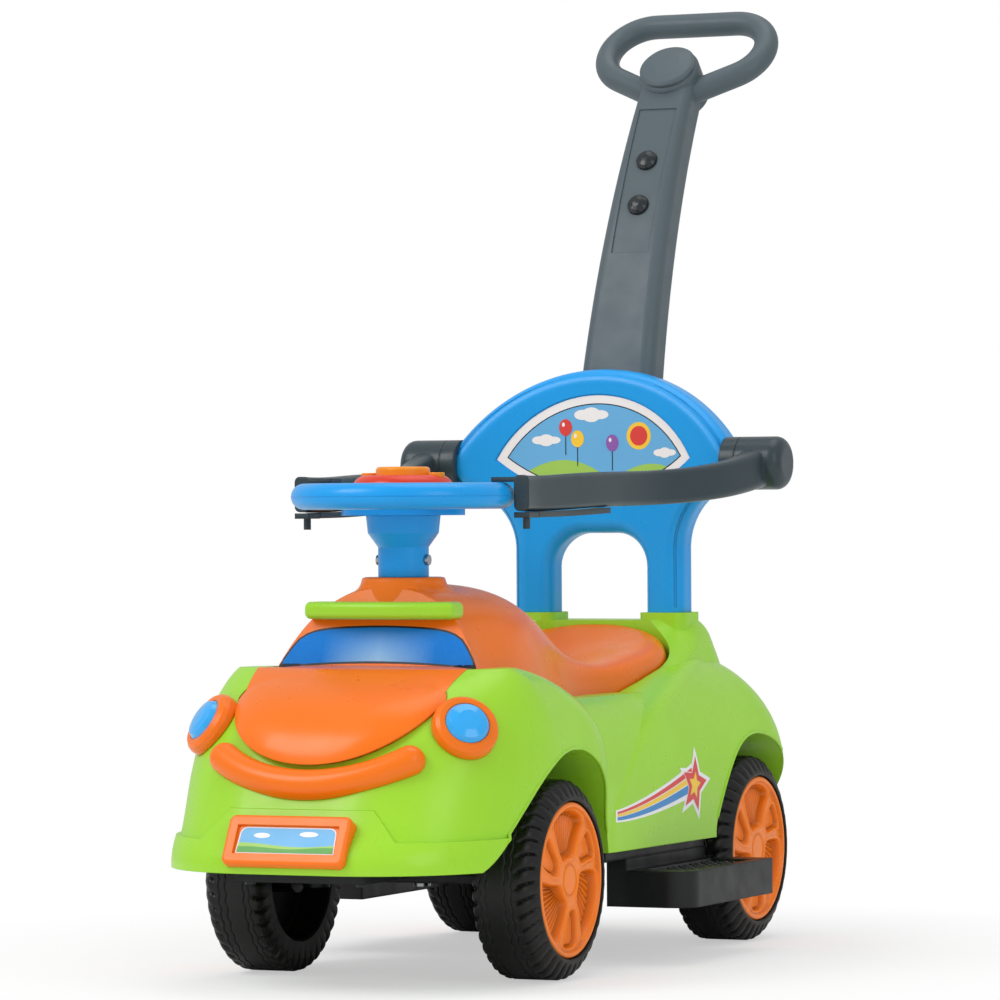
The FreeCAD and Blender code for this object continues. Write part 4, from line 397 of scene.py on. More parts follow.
def tyre_shape():
    """Tyre with zigzag lines in its tread and notched shoulders."""
    tread = [(TREAD_LOW + step * TREAD_STEP, TYRE_RADIUS)
             for step in range(int((TREAD_HIGH - TREAD_LOW) / TREAD_STEP) + 1)]
    profile = np.array(HUB_PROFILE + INNER_WALL + tuple(tread) + OUTER_WALL)
    along = profile[:, :1]
    reach = profile[:, 1:]
    run = np.roll(profile, -1, axis=0) - np.roll(profile, 1, axis=0)
    run = run / np.maximum(np.linalg.norm(run, axis=1, keepdims=True), 1e-6)
    outward_x = -run[:, 1:]
    outward_r = run[:, :1]
    angles = np.arange(TYRE_COLUMNS) * TURN / TYRE_COLUMNS
    cut = np.zeros((len(profile), TYRE_COLUMNS))
    swing = SIPE_SWING * zigzag(angles * SIPE_WAVES / TURN)
    for line in SIPE_LINES:
        cut += SIPE_DEPTH * ridge(along - line - swing, SIPE_HALF)
    outer = smooth_step(*OUTER_LUG_ALONG, along) * smooth_step(*OUTER_LUG_REACH, reach)
    inner = smooth_step(*INNER_LUG_ALONG, along) * smooth_step(*INNER_LUG_REACH, reach)
    lug_turn = angles * LUGS / TURN + LUG_SLANT * (along - LUG_MIDDLE) / LUG_SLANT_LENGTH
    valley = 0.5 + 0.5 * np.cos(TURN * lug_turn)
    cut += (outer + inner) * (LUG_DEPTH * valley ** LUG_SHARPNESS + LUG_SWELL * valley)
    return along - outward_x * cut, reach - outward_r * cut, angles


DISC_RADIUS = 62.5
DISC_COLUMNS = 480
DISC_STEP = 0.6
DISC_BACK = 39.0
DISC_TWIST = math.radians(16.0)
POCKET_CORNER = 2.5
FACE = 51.0
FACE_DOME = 1.6
DOME_RADIUS = 57.0
RIM_RISE = 3.0
RIM_START = (56.5, 58.5)
RIM_MIDDLE = 59.4
RIM_HALF = 3.2
WIDE_AT = math.radians(90.0)
WIDE_HALF = math.radians(34.0)
WIDE_LOW = 17.0
WIDE_HIGH = 56.0
WIDE_DEPTH = 7.0
WIDE_SLOPE = 3.0
WIDE_FRAME = 1.2
NARROW_AT = math.radians(30.0)
NARROW_HALF = math.radians(15.0)
NARROW_LOW = 24.0
NARROW_HIGH = 55.0
NARROW_DEPTH = 4.5
NARROW_SLOPE = 2.2
NARROW_FRAME = 1.0
FRAME_RISE = 0.8
INNER_BEAD_RISE = 1.6
INNER_BEAD_AT = 3.8
INNER_BEAD_HALF = 0.8
FAN_RIBS = 11
RIB_RISE = 2.2
RIB_START = (2.5, 5.0)
GROOVE_DEPTH = 1.0
GROOVE_RADIUS = 12.5
GROOVE_HALF = 0.9


def pocket_distance(reach, angles, middle, half, low, high):
    """Distance in from the edge of a pocket between two radii and two curved sides, in three places."""
    turned = angles - middle - DISC_TWIST * (1.0 - reach / high)
    third = TURN / 3.0
    offset = np.abs((turned + third / 2.0) % third - third / 2.0)
    walls = ((half - offset) * reach, reach - low, high - reach)
    return -POCKET_CORNER * np.log(sum(np.exp(-wall / POCKET_CORNER) for wall in walls))


def disc_shape():
    """Wheel disc with a raised rim, ribbed fans, framed slots and a round middle."""
    radii = np.arange(1, int(DISC_RADIUS / DISC_STEP) + 1) * DISC_STEP
    radii[-1] = DISC_RADIUS
    reach = np.repeat(radii[:, None], DISC_COLUMNS, axis=1)
    angles = np.arange(DISC_COLUMNS)[None, :] * TURN / DISC_COLUMNS + np.zeros_like(reach)
    height = FACE + FACE_DOME * np.cos(np.clip(reach / DOME_RADIUS, 0.0, 1.0) * math.pi / 2.0)
    rim_round = np.sqrt(np.clip(1.0 - ((reach - RIM_MIDDLE) / RIM_HALF) ** 2, 0.0, 1.0))
    height += RIM_RISE * smooth_step(*RIM_START, reach) * rim_round
    wide = pocket_distance(reach, angles, WIDE_AT, WIDE_HALF, WIDE_LOW, WIDE_HIGH)
    slot = pocket_distance(reach, angles, NARROW_AT, NARROW_HALF, NARROW_LOW, NARROW_HIGH)
    height -= WIDE_DEPTH * smooth_step(0.0, WIDE_SLOPE, wide)
    height -= NARROW_DEPTH * smooth_step(0.0, NARROW_SLOPE, slot)
    height += FRAME_RISE * ridge(wide + WIDE_FRAME, WIDE_FRAME)
    height += FRAME_RISE * ridge(slot + NARROW_FRAME, NARROW_FRAME)
    height += INNER_BEAD_RISE * ridge(slot - INNER_BEAD_AT, INNER_BEAD_HALF)
    fan = (angles - DISC_TWIST * (1.0 - reach / WIDE_HIGH)) * FAN_RIBS * TURN / (2.0 * WIDE_HALF)
    height += RIB_RISE * (0.5 + 0.5 * np.cos(fan)) * smooth_step(*RIB_START, wide)
    height -= GROOVE_DEPTH * ridge(reach - GROOVE_RADIUS, GROOVE_HALF)
    back = np.full((1, DISC_COLUMNS), DISC_BACK)
    rim = np.full((1, DISC_COLUMNS), DISC_RADIUS)
    middle = np.full((1, DISC_COLUMNS), DISC_STEP)
    along = np.concatenate([height, back, back])
    return along, np.concatenate([reach, rim, middle]), angles[0]


def make_wheels():
    """Tyres and discs that stand for the plainer CAD ones."""
    tyre_along, tyre_reach, tyre_angles = tyre_shape()
    disc_along, disc_reach, disc_angles = disc_shape()
    tyre_faces = grid_faces(len(tyre_along), TYRE_COLUMNS, ring_rows=True)
    disc_faces = grid_faces(len(disc_along), DISC_COLUMNS)
    disc_faces.append(tuple(range(DISC_COLUMNS)))
    disc_faces.append(tuple(range((len(disc_along) - 1) * DISC_COLUMNS, len(disc_along) * DISC_COLUMNS)))
    for end, axle_y in AXLES:
        for hand, side in SIDES:
            label = f"{end}_{hand}"
            points = wheel_points(tyre_along, tyre_reach, tyre_angles, side, axle_y)
            make_piece(f"tread_{label}", points, tyre_faces, [tyre_black], f"wheel_{label}",
                       stands_for=(f"tyre_{label}",))
            points = wheel_points(disc_along, disc_reach, disc_angles, side, axle_y)
            make_piece(f"disc_{label}", points, disc_faces, [disc_orange], f"wheel_{label}",
                       stands_for=(f"wheel_disc_{label}",))


# Printed panels

CORNER_LIMIT = 0.35
CUT_TOLERANCE = 1e-4


def inset(outline, distance):
    """An anticlockwise convex outline moved inwards."""
    moved = []
    count = len(outline)
    for index in range(count):
        before = Vector(outline[index]) - Vector(outline[index - 1])
        after = Vector(outline[(index + 1) % count]) - Vector(outline[index])
        first = Vector((-before.y, before.x)).normalized()
        second = Vector((-after.y, after.x)).normalized()
        halfway = (first + second).normalized()
        share = distance / max(halfway.dot(first), CORNER_LIMIT)
        moved.append(tuple(Vector(outline[index]) + halfway * share))
    return moved


def clipped(outline, window):
    """The part of an outline inside an anticlockwise convex window."""
    for index in range(len(window)):
        start = Vector(window[index])
        edge = Vector(window[(index + 1) % len(window)]) - start
        kept = []
        for place in range(len(outline)):
            here = Vector(outline[place])
            there = Vector(outline[(place + 1) % len(outline)])
            inside_here = edge.x * (here.y - start.y) - edge.y * (here.x - start.x)
            inside_there = edge.x * (there.y - start.y) - edge.y * (there.x - start.x)
            if inside_here >= 0.0:
                kept.append(tuple(here))
            if inside_here * inside_there < 0.0:
                share = inside_here / (inside_here - inside_there)
                kept.append(tuple(here.lerp(there, share)))
        outline = kept
        if not outline:
            break
    return outline


def ellipse(u, v, half_u, half_v, count=40):
    return [(u + half_u * math.cos(TURN * step / count), v + half_v * math.sin(TURN * step / count))
            for step in range(count)]


def star(u, v, reach, turn, points=5, waist=0.48):
    """Outline of a star, turned by a share of a whole turn."""
    outline = []
    for step in range(points * 2):
        radius = reach if step % 2 == 0 else reach * waist
        angle = TURN * (turn + step / (points * 2))
        outline.append((u + radius * math.cos(angle), v + radius * math.sin(angle)))
    return outline


def band(low, high, steps=40):
    """Outline between a lower and an upper curve, each a function of a share from 0 to 1."""
    shares = [step / steps for step in range(steps + 1)]
    return [low(share) for share in shares] + [high(share) for share in reversed(shares)]


def filled(outline, step):
    """Flat faces inside an outline, cut into small pieces so that they can follow a curved surface."""
    sheet = bmesh.new()
    sheet.faces.new([sheet.verts.new((u, v, 0.0)) for u, v in outline])
    bmesh.ops.triangulate(sheet, faces=sheet.faces[:])
    for axis in (0, 1):
        values = [point[axis] for point in outline]
        normal = (1.0, 0.0, 0.0) if axis == 0 else (0.0, 1.0, 0.0)
        for cut in range(1, int((max(values) - min(values)) / step) + 1):
            place = [0.0, 0.0, 0.0]
            place[axis] = min(values) + cut * step
            geometry = sheet.verts[:] + sheet.edges[:] + sheet.faces[:]
            bmesh.ops.bisect_plane(sheet, geom=geometry, plane_co=place, plane_no=normal, dist=CUT_TOLERANCE)
    sheet.verts.index_update()
    points = [(vertex.co.x, vertex.co.y) for vertex in sheet.verts]
    faces = [tuple(vertex.index for vertex in face.verts) for face in sheet.faces]
    sheet.free()
    return points, faces


def make_print(name, layers, place, body, step=5.0):
    """Layers of ink, each a lift, an outline and a material, laid one above the other on a surface."""
    points = []
    faces = []
    inks = []
    ink_of = []
    for lift, outline, ink in layers:
        if len(outline) < 3:
            continue
        if ink not in inks:
            inks.append(ink)
        start = len(points)
        flat, more = filled(outline, step)
        points.extend(place(u, v, lift) for u, v in flat)
        faces.extend(tuple(start + index for index in face) for face in more)
        ink_of.extend([inks.index(ink)] * len(more))
    make_piece(name, points, faces, inks, body, material_of=ink_of)


# Print on the backrest

BACK_BEND_Y = -170.0
BACK_RADIUS = 361.0
EYE_SUNK = 1.2
EYE_HALF = 93.0
EYE_END_Z = 419.0
EYE_TOP_Z = 476.0
EYE_LOW_Z = 384.0
EYE_STEPS = 36
EYE_LAYERS = ((0.15, 1.0, ink_white), (0.25, 8.0, ink_line))
SKY_LIFT = 0.35
SKY_MARGIN = 9.0
SUN_AT = (40.0, 439.0)
SUN_RINGS = ((0.42, 12.0, ink_sun), (0.46, 8.6, ink_red))
HILLS = ((0.42, (-95.0, 30.0, 380.0, 38.0), ink_far), (0.45, (-5.0, 110.0, 380.0, 34.0), ink_far),
         (0.5, (-60.0, 75.0, 376.0, 29.0), ink_near), (0.55, (-120.0, -30.0, 376.0, 34.0), ink_near))
HILL_ROUND = 0.8
HILL_EDGE = 0.5
CLOUDS = ((-6.0, 458.0, 1.0), (66.0, 424.0, 0.7), (-48.0, 436.0, 0.8))
PUFFS = ((-8.0, 8.0, 4.5), (0.0, 9.0, 6.5), (8.5, 8.0, 4.0))
CLOUD_LIFT = 0.5
PUFF_LIFT = 0.01
PUFF_SPREAD = 8.0
BALLOONS = ((-30.0, 447.0, ink_red), (-19.0, 437.0, ink_sun), (14.0, 433.0, ink_violet))
BALLOON_LIFT = 0.65
BALLOON_HALVES = (6.0, 7.4)
STRING_LIFT = 0.6
STRING_HALF = 0.4
STRING_LENGTH = 24.0
GLINT_LIFT = 0.7
GLINT_SHIFT = (2.0, 2.6)
GLINT_HALVES = (1.3, 1.9)


def eye_outline(margin):
    """Two round arcs that meet in points, drawn a margin inside the sunk panel."""
    top_rise = EYE_TOP_Z - EYE_END_Z
    low_rise = EYE_END_Z - EYE_LOW_Z
    top_radius = (EYE_HALF ** 2 + top_rise ** 2) / (2.0 * top_rise)
    low_radius = (EYE_HALF ** 2 + low_rise ** 2) / (2.0 * low_rise)
    top_middle = EYE_TOP_Z - top_radius
    low_middle = EYE_LOW_Z + low_radius
    top_radius -= margin
    low_radius -= margin
    apart = low_middle - top_middle
    height = (apart ** 2 + top_radius ** 2 - low_radius ** 2) / (2.0 * apart)
    half = math.sqrt(top_radius ** 2 - height ** 2)
    shares = [2.0 * step / EYE_STEPS - 1.0 for step in range(EYE_STEPS)]
    low = [(half * share, low_middle - math.sqrt(low_radius ** 2 - (half * share) ** 2)) for share in shares]
    top = [(-half * share, top_middle + math.sqrt(top_radius ** 2 - (half * share) ** 2)) for share in shares]
    return low + top


def on_backrest(u, v, lift):
    radius = BACK_RADIUS + EYE_SUNK - lift
    return u, BACK_BEND_Y + math.sqrt(radius ** 2 - u ** 2), v


def hill(left, right, foot, rise):
    def crest(share):
        return foot + rise * math.sin(math.pi * share) ** HILL_ROUND + HILL_EDGE
    return band(lambda share: (left + (right - left) * share, foot),
                lambda share: (left + (right - left) * share, crest(share)))


def make_backrest_print():
    """Hills, clouds, balloons and a sun on the sunk panel of the backrest."""
    view = eye_outline(SKY_MARGIN)
    layers = [(lift, eye_outline(margin), ink) for lift, margin, ink in EYE_LAYERS]
    layers.append((SKY_LIFT, view, ink_sky))

    def add(lift, outline, ink):
        layers.append((lift, clipped(outline, view), ink))

    for lift, radius, ink in SUN_RINGS:
        add(lift, ellipse(*SUN_AT, radius, radius), ink)
    for lift, place, ink in HILLS:
        add(lift, hill(*place), ink)
    for u, v, size in CLOUDS:
        for shift, half_u, half_v in PUFFS:
            puff = ellipse(u + shift * size, v, half_u * size, half_v * size)
            add(CLOUD_LIFT + PUFF_LIFT * shift / PUFF_SPREAD, puff, ink_white)
    for u, v, ink in BALLOONS:
        foot = v - STRING_LENGTH
        string = [(u - STRING_HALF, foot), (u + STRING_HALF, foot), (u + STRING_HALF, v), (u - STRING_HALF, v)]
        add(STRING_LIFT, string, ink_line)
        add(BALLOON_LIFT, ellipse(u, v, *BALLOON_HALVES), ink)
        add(GLINT_LIFT, ellipse(u - GLINT_SHIFT[0], v + GLINT_SHIFT[1], *GLINT_HALVES), ink_white)
    make_print("backrest_print", layers, on_backrest, "car")


# Print on the plate

PLATE_AT = Vector((0.0, -422.53, 121.08))
PLATE_UP = Vector((0.0, 0.46135, 0.88722))
PLATE_OUT = Vector((0.0, -0.88722, 0.46135))
PLATE_HALF = 42.3
PLATE_RISE = 11.2
PLATE_CORNER = 6.0
PLATE_CORNER_IN = 1.0
PLATE_CORNER_STEPS = 8
PLATE_MARGIN = 0.9
PLATE_BACK_LIFT = 0.15
PLATE_SKY_LIFT = 0.22
GROUND_HALF = 50.0
GROUND_FOOT = -14.0
GROUNDS = ((0.28, (-3.6, 1.6, 6.0, 1.0), ink_far), (0.34, (-6.2, 0.9, 9.0, 0.0), ink_near))
PLATE_CLOUDS = ((-22.0, 4.0, 7.0), (18.0, 5.5, 8.0))
PLATE_CLOUD_LIFT = 0.4
PLATE_CLOUD_RISE = 2.2


def on_plate(u, v, lift):
    return PLATE_AT + Vector((u, 0.0, 0.0)) + PLATE_UP * v + PLATE_OUT * lift


def ground(level, swell, waves, start):
    """Ground below a wavy line across the plate."""
    def across(share):
        return -GROUND_HALF + 2.0 * GROUND_HALF * share
    return band(lambda share: (across(share), GROUND_FOOT),
                lambda share: (across(share), level + swell * math.sin(share * waves + start)))


def make_plate_print():
    """Bands of sky and ground on the plate."""
    outline = [(-PLATE_HALF, -PLATE_RISE), (PLATE_HALF, -PLATE_RISE)]
    corner_u = PLATE_HALF - PLATE_CORNER - PLATE_CORNER_IN
    corner_v = PLATE_RISE - PLATE_CORNER
    for sign, start in ((1.0, 0.0), (-1.0, 0.25)):
        for step in range(PLATE_CORNER_STEPS + 1):
            angle = TURN * (start + 0.25 * step / PLATE_CORNER_STEPS)
            outline.append((sign * corner_u + PLATE_CORNER * math.cos(angle),
                            corner_v + PLATE_CORNER * math.sin(angle)))
    view = inset(outline, PLATE_MARGIN)
    layers = [(PLATE_BACK_LIFT, outline, ink_white), (PLATE_SKY_LIFT, view, ink_sky)]
    for lift, shape, ink in GROUNDS:
        layers.append((lift, clipped(ground(*shape), view), ink))
    for u, v, half in PLATE_CLOUDS:
        layers.append((PLATE_CLOUD_LIFT, clipped(ellipse(u, v, half, PLATE_CLOUD_RISE), view), ink_white))
    make_print("plate_print", layers, on_plate, "car")


# Prints on the sides

OUTSIDE_X = 300.0
SIDE_STEP = 4.0
RIBBON_FRONT_Y = -98.0
RIBBON_LENGTH = 150.0
RIBBON_LOW_Z = 124.0
RIBBON_RISE = 22.0
RIBBON_CURVE = 1.6
RIBBON_NARROW = 0.35
RIBBON_BACKING = (0.12, (-13.0, 15.0, 3.0), ink_white)
RIBBONS = ((0.22, (-9.0, -1.5, 0.0), ink_blue), (0.22, (-0.5, 5.0, 0.0), ink_sun),
           (0.22, (6.0, 11.0, 0.0), ink_red))
STAR_AT = (57.0, 142.0)
STAR_TURN = 0.22
STAR_BACKING = (0.16, 33.0, ink_white)
STARS = ((0.28, 26.0, ink_white), (0.34, 24.5, ink_red), (0.4, 12.0, ink_sun))


def ribbon(low, high, grow):
    """Curved ribbon that rises and widens towards the rear."""
    def line(offset, share):
        width = RIBBON_NARROW + (1.0 - RIBBON_NARROW) * share
        return (RIBBON_FRONT_Y - grow + (RIBBON_LENGTH + 2.0 * grow) * share,
                RIBBON_LOW_Z + RIBBON_RISE * share ** RIBBON_CURVE + offset * width)
    return band(lambda share: line(low, share), lambda share: line(high, share))


def ribbon_layer(lift, shape, ink):
    return lift, ribbon(*shape), ink


def star_layer(lift, reach, ink):
    return lift, star(*STAR_AT, reach, STAR_TURN), ink


def make_side_prints():
    """A star with ribbons on each side of the shell."""
    shell = surface_of("body_shell")
    layers = [ribbon_layer(*RIBBON_BACKING), star_layer(*STAR_BACKING)]
    layers += [ribbon_layer(*layer) for layer in RIBBONS]
    layers += [star_layer(*layer) for layer in STARS]
    for hand, side in SIDES:

        def on_side(u, v, lift):
            place = struck(shell, (OUTSIDE_X * side, u, v), (-side, 0.0, 0.0))
            return place + Vector((lift * side, 0.0, 0.0))

        make_print(f"side_print_{hand}", layers, on_side, "car", step=SIDE_STEP)


# Windscreen panel

SCREEN_STEPS = 24
SCREEN_LOW_HALF = 88.0
SCREEN_LOW_Z = 253.0
SCREEN_LOW_BOW = 4.5
SCREEN_TOP_HALF = 66.0
SCREEN_TOP_Z = 283.0
SCREEN_TOP_BOW = 3.5
SCREEN_CORNER_DROP = 3.0
SCREEN_SIDE = ((84.0, 257.0), (78.0, 266.0), (72.5, 272.5))
SCREEN_LINE = 1.6
SCREEN_LIFT = 0.45
SCREEN_LINE_LIFT = 0.25
SCREEN_STEP = 4.0
SCREEN_START_Y = -268.0
GLARE_HALF = 0.05
GLARE_SHARE = 0.85
GLARE_Z = (0.25, 0.28)
GLARE_TOP = 0.05
SCREEN_SPECK = 300.0
SCREEN_GLOSS = (0.3, 0.4)
SCREEN_GRAIN = 600.0
SCREEN_GRAIN_DEPTH = 0.00002
SCREEN_SPECULAR = 0.12


def screen_outline():
    """Anticlockwise, with bowed top and bottom, rounded upper corners and sharp lower ones."""
    low = []
    top = []
    for step in range(SCREEN_STEPS + 1):
        share = 2.0 * step / SCREEN_STEPS - 1.0
        low.append((SCREEN_LOW_HALF * share, SCREEN_LOW_Z - SCREEN_LOW_BOW * share ** 2))
        share = 1.0 - 2.0 * step / SCREEN_STEPS
        drop = SCREEN_TOP_BOW * share ** 2
        top.append((SCREEN_TOP_HALF * share, SCREEN_TOP_Z - drop - SCREEN_CORNER_DROP * share ** 8))
    return low + list(SCREEN_SIDE) + top + [(-u, v) for u, v in reversed(SCREEN_SIDE)]


def screen_material():
    """Blue panel, deeper at its ends and along its top, with a pale glare low in its middle."""
    material, tree, shader = new_material("screen_blue")
    coords = object_coords(tree)
    parts = add_node(tree, "ShaderNodeSeparateXYZ")
    tree.links.new(coords, parts.inputs["Vector"])
    across = add_node(tree, "ShaderNodeMath", operation="ABSOLUTE")
    tree.links.new(parts.outputs["X"], across.inputs[0])
    middle = map_range(tree, across.outputs["Value"], 0.0, GLARE_HALF, GLARE_SHARE, 0.0)
    low = map_range(tree, parts.outputs["Z"], *GLARE_Z, 1.0, GLARE_TOP)
    glare = add_node(tree, "ShaderNodeMath", operation="MULTIPLY")
    tree.links.new(middle, glare.inputs[0])
    tree.links.new(low, glare.inputs[1])
    speck = noise_at(tree, coords, SCREEN_SPECK)
    deep = mix_colours(tree, speck, srgb(0, 116, 214), srgb(4, 132, 226))
    base = mix_colours(tree, glare.outputs["Value"], deep, srgb(176, 222, 248))
    tree.links.new(base, shader.inputs["Base Color"])
    surface_finish(tree, shader, coords, SCREEN_GLOSS, SCREEN_GRAIN, SCREEN_GRAIN_DEPTH, 0.0)
    shader.inputs["Specular IOR Level"].default_value = SCREEN_SPECULAR
    return material


def make_screen():
    """Windscreen with a dark line round it."""
    cab = surface_of("top_moulding")

    def on_screen(u, v, lift):
        place = struck(cab, (u, SCREEN_START_Y, v), (0.0, 1.0, 0.0))
        return place + Vector((0.0, -lift, 0.0))

    outline = screen_outline()
    layers = [(SCREEN_LINE_LIFT, outline, ink_line),
              (SCREEN_LIFT, inset(outline, SCREEN_LINE), screen_material())]
    make_print("screen_panel", layers, on_screen, "car", step=SCREEN_STEP)


# Trim

OPEN_EDGE = math.radians(110.0)
BACKING_RADIUS = 1.1
BACKING_DEPTH = 1.3
BACKING_OVERLAP = 0.2
BACKING_SIDES = 6
WELD = 0.002


def make_back_backing():
    """Blue backing behind the open line along the rounded edge of the backrest's front shell."""
    shell = bmesh.new()
    shell.from_mesh(nodes["backrest_front"].data)
    bmesh.ops.remove_doubles(shell, verts=shell.verts[:], dist=WELD * MM)
    bits = []
    for edge in shell.edges:
        if len(edge.link_faces) != 2 or edge.calc_face_angle() < OPEN_EDGE:
            continue
        outer = min((face.normal for face in edge.link_faces), key=lambda normal: normal.y)
        first, last = (vertex.co / MM - outer * BACKING_DEPTH for vertex in edge.verts)
        reach = (last - first).normalized() * BACKING_OVERLAP
        bits.append(tube([first - reach, first, last, last + reach], BACKING_RADIUS, BACKING_SIDES))
    shell.free()
    points, faces = joined(bits)
    make_piece("back_backing", points, faces, [blue], "car")


HOOD_FRONT_Y = -340.0
HOOD_REAR_Y = -262.0
HOOD_ROWS = 37
HOOD_COLUMNS = 61
HOOD_FRONT_HALF = 84.0
HOOD_REAR_HALF = 96.0
HOOD_LIFT = 0.35
HOOD_SINK = 0.5
HOOD_SINK_SHARE = 0.3
HOOD_START_Z = 256.0
HOOD_ROUNDS = 120


def make_hood_skin():
    """Smooth orange skin that carries the bonnet back to the foot of the windscreen."""
    under = [surface_of("body_shell"), surface_of("top_moulding")]
    base = np.zeros((HOOD_ROWS, HOOD_COLUMNS))
    across = np.zeros_like(base)
    along = np.zeros_like(base)
    for row, share in enumerate(np.linspace(0.0, 1.0, HOOD_ROWS)):
        half = HOOD_FRONT_HALF + (HOOD_REAR_HALF - HOOD_FRONT_HALF) * share
        lift = HOOD_LIFT - HOOD_SINK * max(0.0, 1.0 - share / HOOD_SINK_SHARE)
        y = HOOD_FRONT_Y + (HOOD_REAR_Y - HOOD_FRONT_Y) * share
        for column in range(HOOD_COLUMNS):
            x = half * (2.0 * column / (HOOD_COLUMNS - 1) - 1.0)
            hits = [struck(surface, (x, y, HOOD_START_Z), DOWN) for surface in under]
            base[row, column] = max(place.z for place in hits if place is not None) + lift
            across[row, column] = x
            along[row, column] = y
    height = base.copy()
    for _ in range(HOOD_ROUNDS):
        around = (height[:-2, 1:-1] + height[2:, 1:-1] + height[1:-1, :-2] + height[1:-1, 2:]) / 4.0
        height[1:-1, 1:-1] = np.maximum(base[1:-1, 1:-1], around)
    points = np.stack([across, along, height], axis=-1).reshape(-1, 3).tolist()
    faces = []
    for row in range(HOOD_ROWS - 1):
        for column in range(HOOD_COLUMNS - 1):
            first = row * HOOD_COLUMNS + column
            faces.append((first, first + 1, first + HOOD_COLUMNS + 1, first + HOOD_COLUMNS))
    make_piece("hood_skin", points, faces, [orange], "car")


COLUMN_AT = Vector((0.0, -209.0, 0.0))
FLARE_COLUMNS = 96
FLARE_TOP_Z = 321.2
FLARE_START_Z = 400.0
FLARE_SINK = 0.2
FLARE_PROFILE = ((31.0, 0.0), (32.8, 0.03), (33.7, 0.1), (34.2, 0.26), (35.0, 0.46), (36.6, 0.68), (39.0, 0.86),
                 (42.0, 1.0))


def make_collar_flare():
    """Hollowed flare from the roof up to the steering collar."""
    roof = surface_of("top_moulding")
    points = []
    for reach, fall in FLARE_PROFILE:
        for column in range(FLARE_COLUMNS):
            angle = TURN * column / FLARE_COLUMNS
            outward = Vector((math.cos(angle), math.sin(angle), 0.0))
            start = COLUMN_AT + outward * FLARE_PROFILE[-1][0] + UP * FLARE_START_Z
            foot = struck(roof, start, DOWN).z - FLARE_SINK
            rise = UP * (FLARE_TOP_Z + (foot - FLARE_TOP_Z) * fall)
            points.append(COLUMN_AT + outward * reach + rise)
    faces = grid_faces(len(FLARE_PROFILE), FLARE_COLUMNS)
    make_piece("collar_flare", points, faces, [orange], "car")


LIP_BEAD = 1.5
LIP_OUT = 0.6
LIP_SINK = 0.2
LIP_STEPS = 60
LIP_START = 0.06
LIP_SPAN = 0.88
LIP_MIDDLE_Z = 92.0
LIP_NEAR = 70.0
LIP_FAR = 190.0
LIP_HALVINGS = 14
SKIN_X = 100.0


def on_skin(shell, axle_y, side, angle, reach):
    """The shell's outer skin at a distance and an angle from an axle, or nothing."""
    y = axle_y + reach * math.cos(angle)
    z = LIP_MIDDLE_Z + reach * math.sin(angle)
    place = struck(shell, (OUTSIDE_X * side, y, z), (-side, 0.0, 0.0))
    return place if place is not None and abs(place.x) > SKIN_X else None


def make_arch_lips():
    """Rounded bead round the edge of each wheel arch."""
    shell = surface_of("body_shell")
    shapes = []
    for _, axle_y in AXLES:
        for _, side in SIDES:
            path = []
            for step in range(LIP_STEPS + 1):
                angle = math.pi * (LIP_START + LIP_SPAN * step / LIP_STEPS)
                near = LIP_NEAR
                far = LIP_FAR
                for _ in range(LIP_HALVINGS):
                    reach = (near + far) / 2.0
                    if on_skin(shell, axle_y, side, angle, reach) is not None:
                        far = reach
                    else:
                        near = reach
                place = on_skin(shell, axle_y, side, angle, far + LIP_BEAD * LIP_OUT)
                if place is not None:
                    path.append(place - Vector((LIP_BEAD * LIP_SINK * side, 0.0, 0.0)))
            shapes.append(tube(path, LIP_BEAD))
    points, faces = joined(shapes)
    make_piece("arch_lips", points, faces, [lime], "car")


PAD_ROWS = 14
PAD_COLUMNS = 9
PAD_START = (120.0, -46.0)
PAD_PITCH = (7.5, 12.5)
PAD_HALVES = (1.9, 4.2)
PAD_LEAN = 0.5
PAD_RISE = 0.9
PAD_CROWN = 0.6
PAD_SINK = 0.2
PAD_FLOOR_Z = 75.0
PAD_FLOOR_MISS = 0.1
PAD_START_Z = 120.0
PAD_CORNERS = ((-1.0, 0.0), (0.0, -1.0), (1.0, 0.0), (0.0, 1.0))
PAD_FACES = [(0, 1, 5, 4), (1, 2, 6, 5), (2, 3, 7, 6), (3, 0, 4, 7), (4, 5, 6, 7)]


def lozenge(x, y, lean):
    """Corners of a leaning lozenge about a place."""
    places = []
    for share_along, share_across in PAD_CORNERS:
        across = share_across * PAD_HALVES[0]
        along = share_along * PAD_HALVES[1]
        places.append((x + (along * lean + across), y + along - across * lean))
    return places


def make_treads():
    """Small raised lozenges on the sunk panel of each footrest."""
    for hand, side in SIDES:
        ledge = surface_of(f"footrest_{hand}")
        shapes = []
        for row in range(PAD_ROWS):
            for column in range(PAD_COLUMNS):
                lean = PAD_LEAN if (row + column) % 2 == 0 else -PAD_LEAN
                base = lozenge(PAD_START[0] + column * PAD_PITCH[0], PAD_START[1] + row * PAD_PITCH[1], lean)
                spots = [struck(ledge, (x * side, y, PAD_START_Z), DOWN) for x, y in base]
                if any(spot is None or abs(spot.z - PAD_FLOOR_Z) > PAD_FLOOR_MISS for spot in spots):
                    continue
                middle = sum(spots, Vector()) / len(spots)
                crown = [middle + (spot - middle) * PAD_CROWN + UP * PAD_RISE for spot in spots]
                shapes.append(([spot - UP * PAD_SINK for spot in spots] + crown, PAD_FACES))
        points, faces = joined(shapes)
        make_piece(f"tread_pad_{hand}", points, faces, [black], "car")


RIM_SEAM_AT = (0.0, -209.0, 386.5)
RIM_SEAM_RADIUS = 90.5
RIM_SEAM_BEAD = 0.45
KNOB_X = 176.0
KNOB_Y = 184.0
KNOB_Z = 414.0
KNOB_RING_RADIUS = 19.0
KNOB_RING_BEAD = 1.0
KNOB_RING_COLUMNS = 64


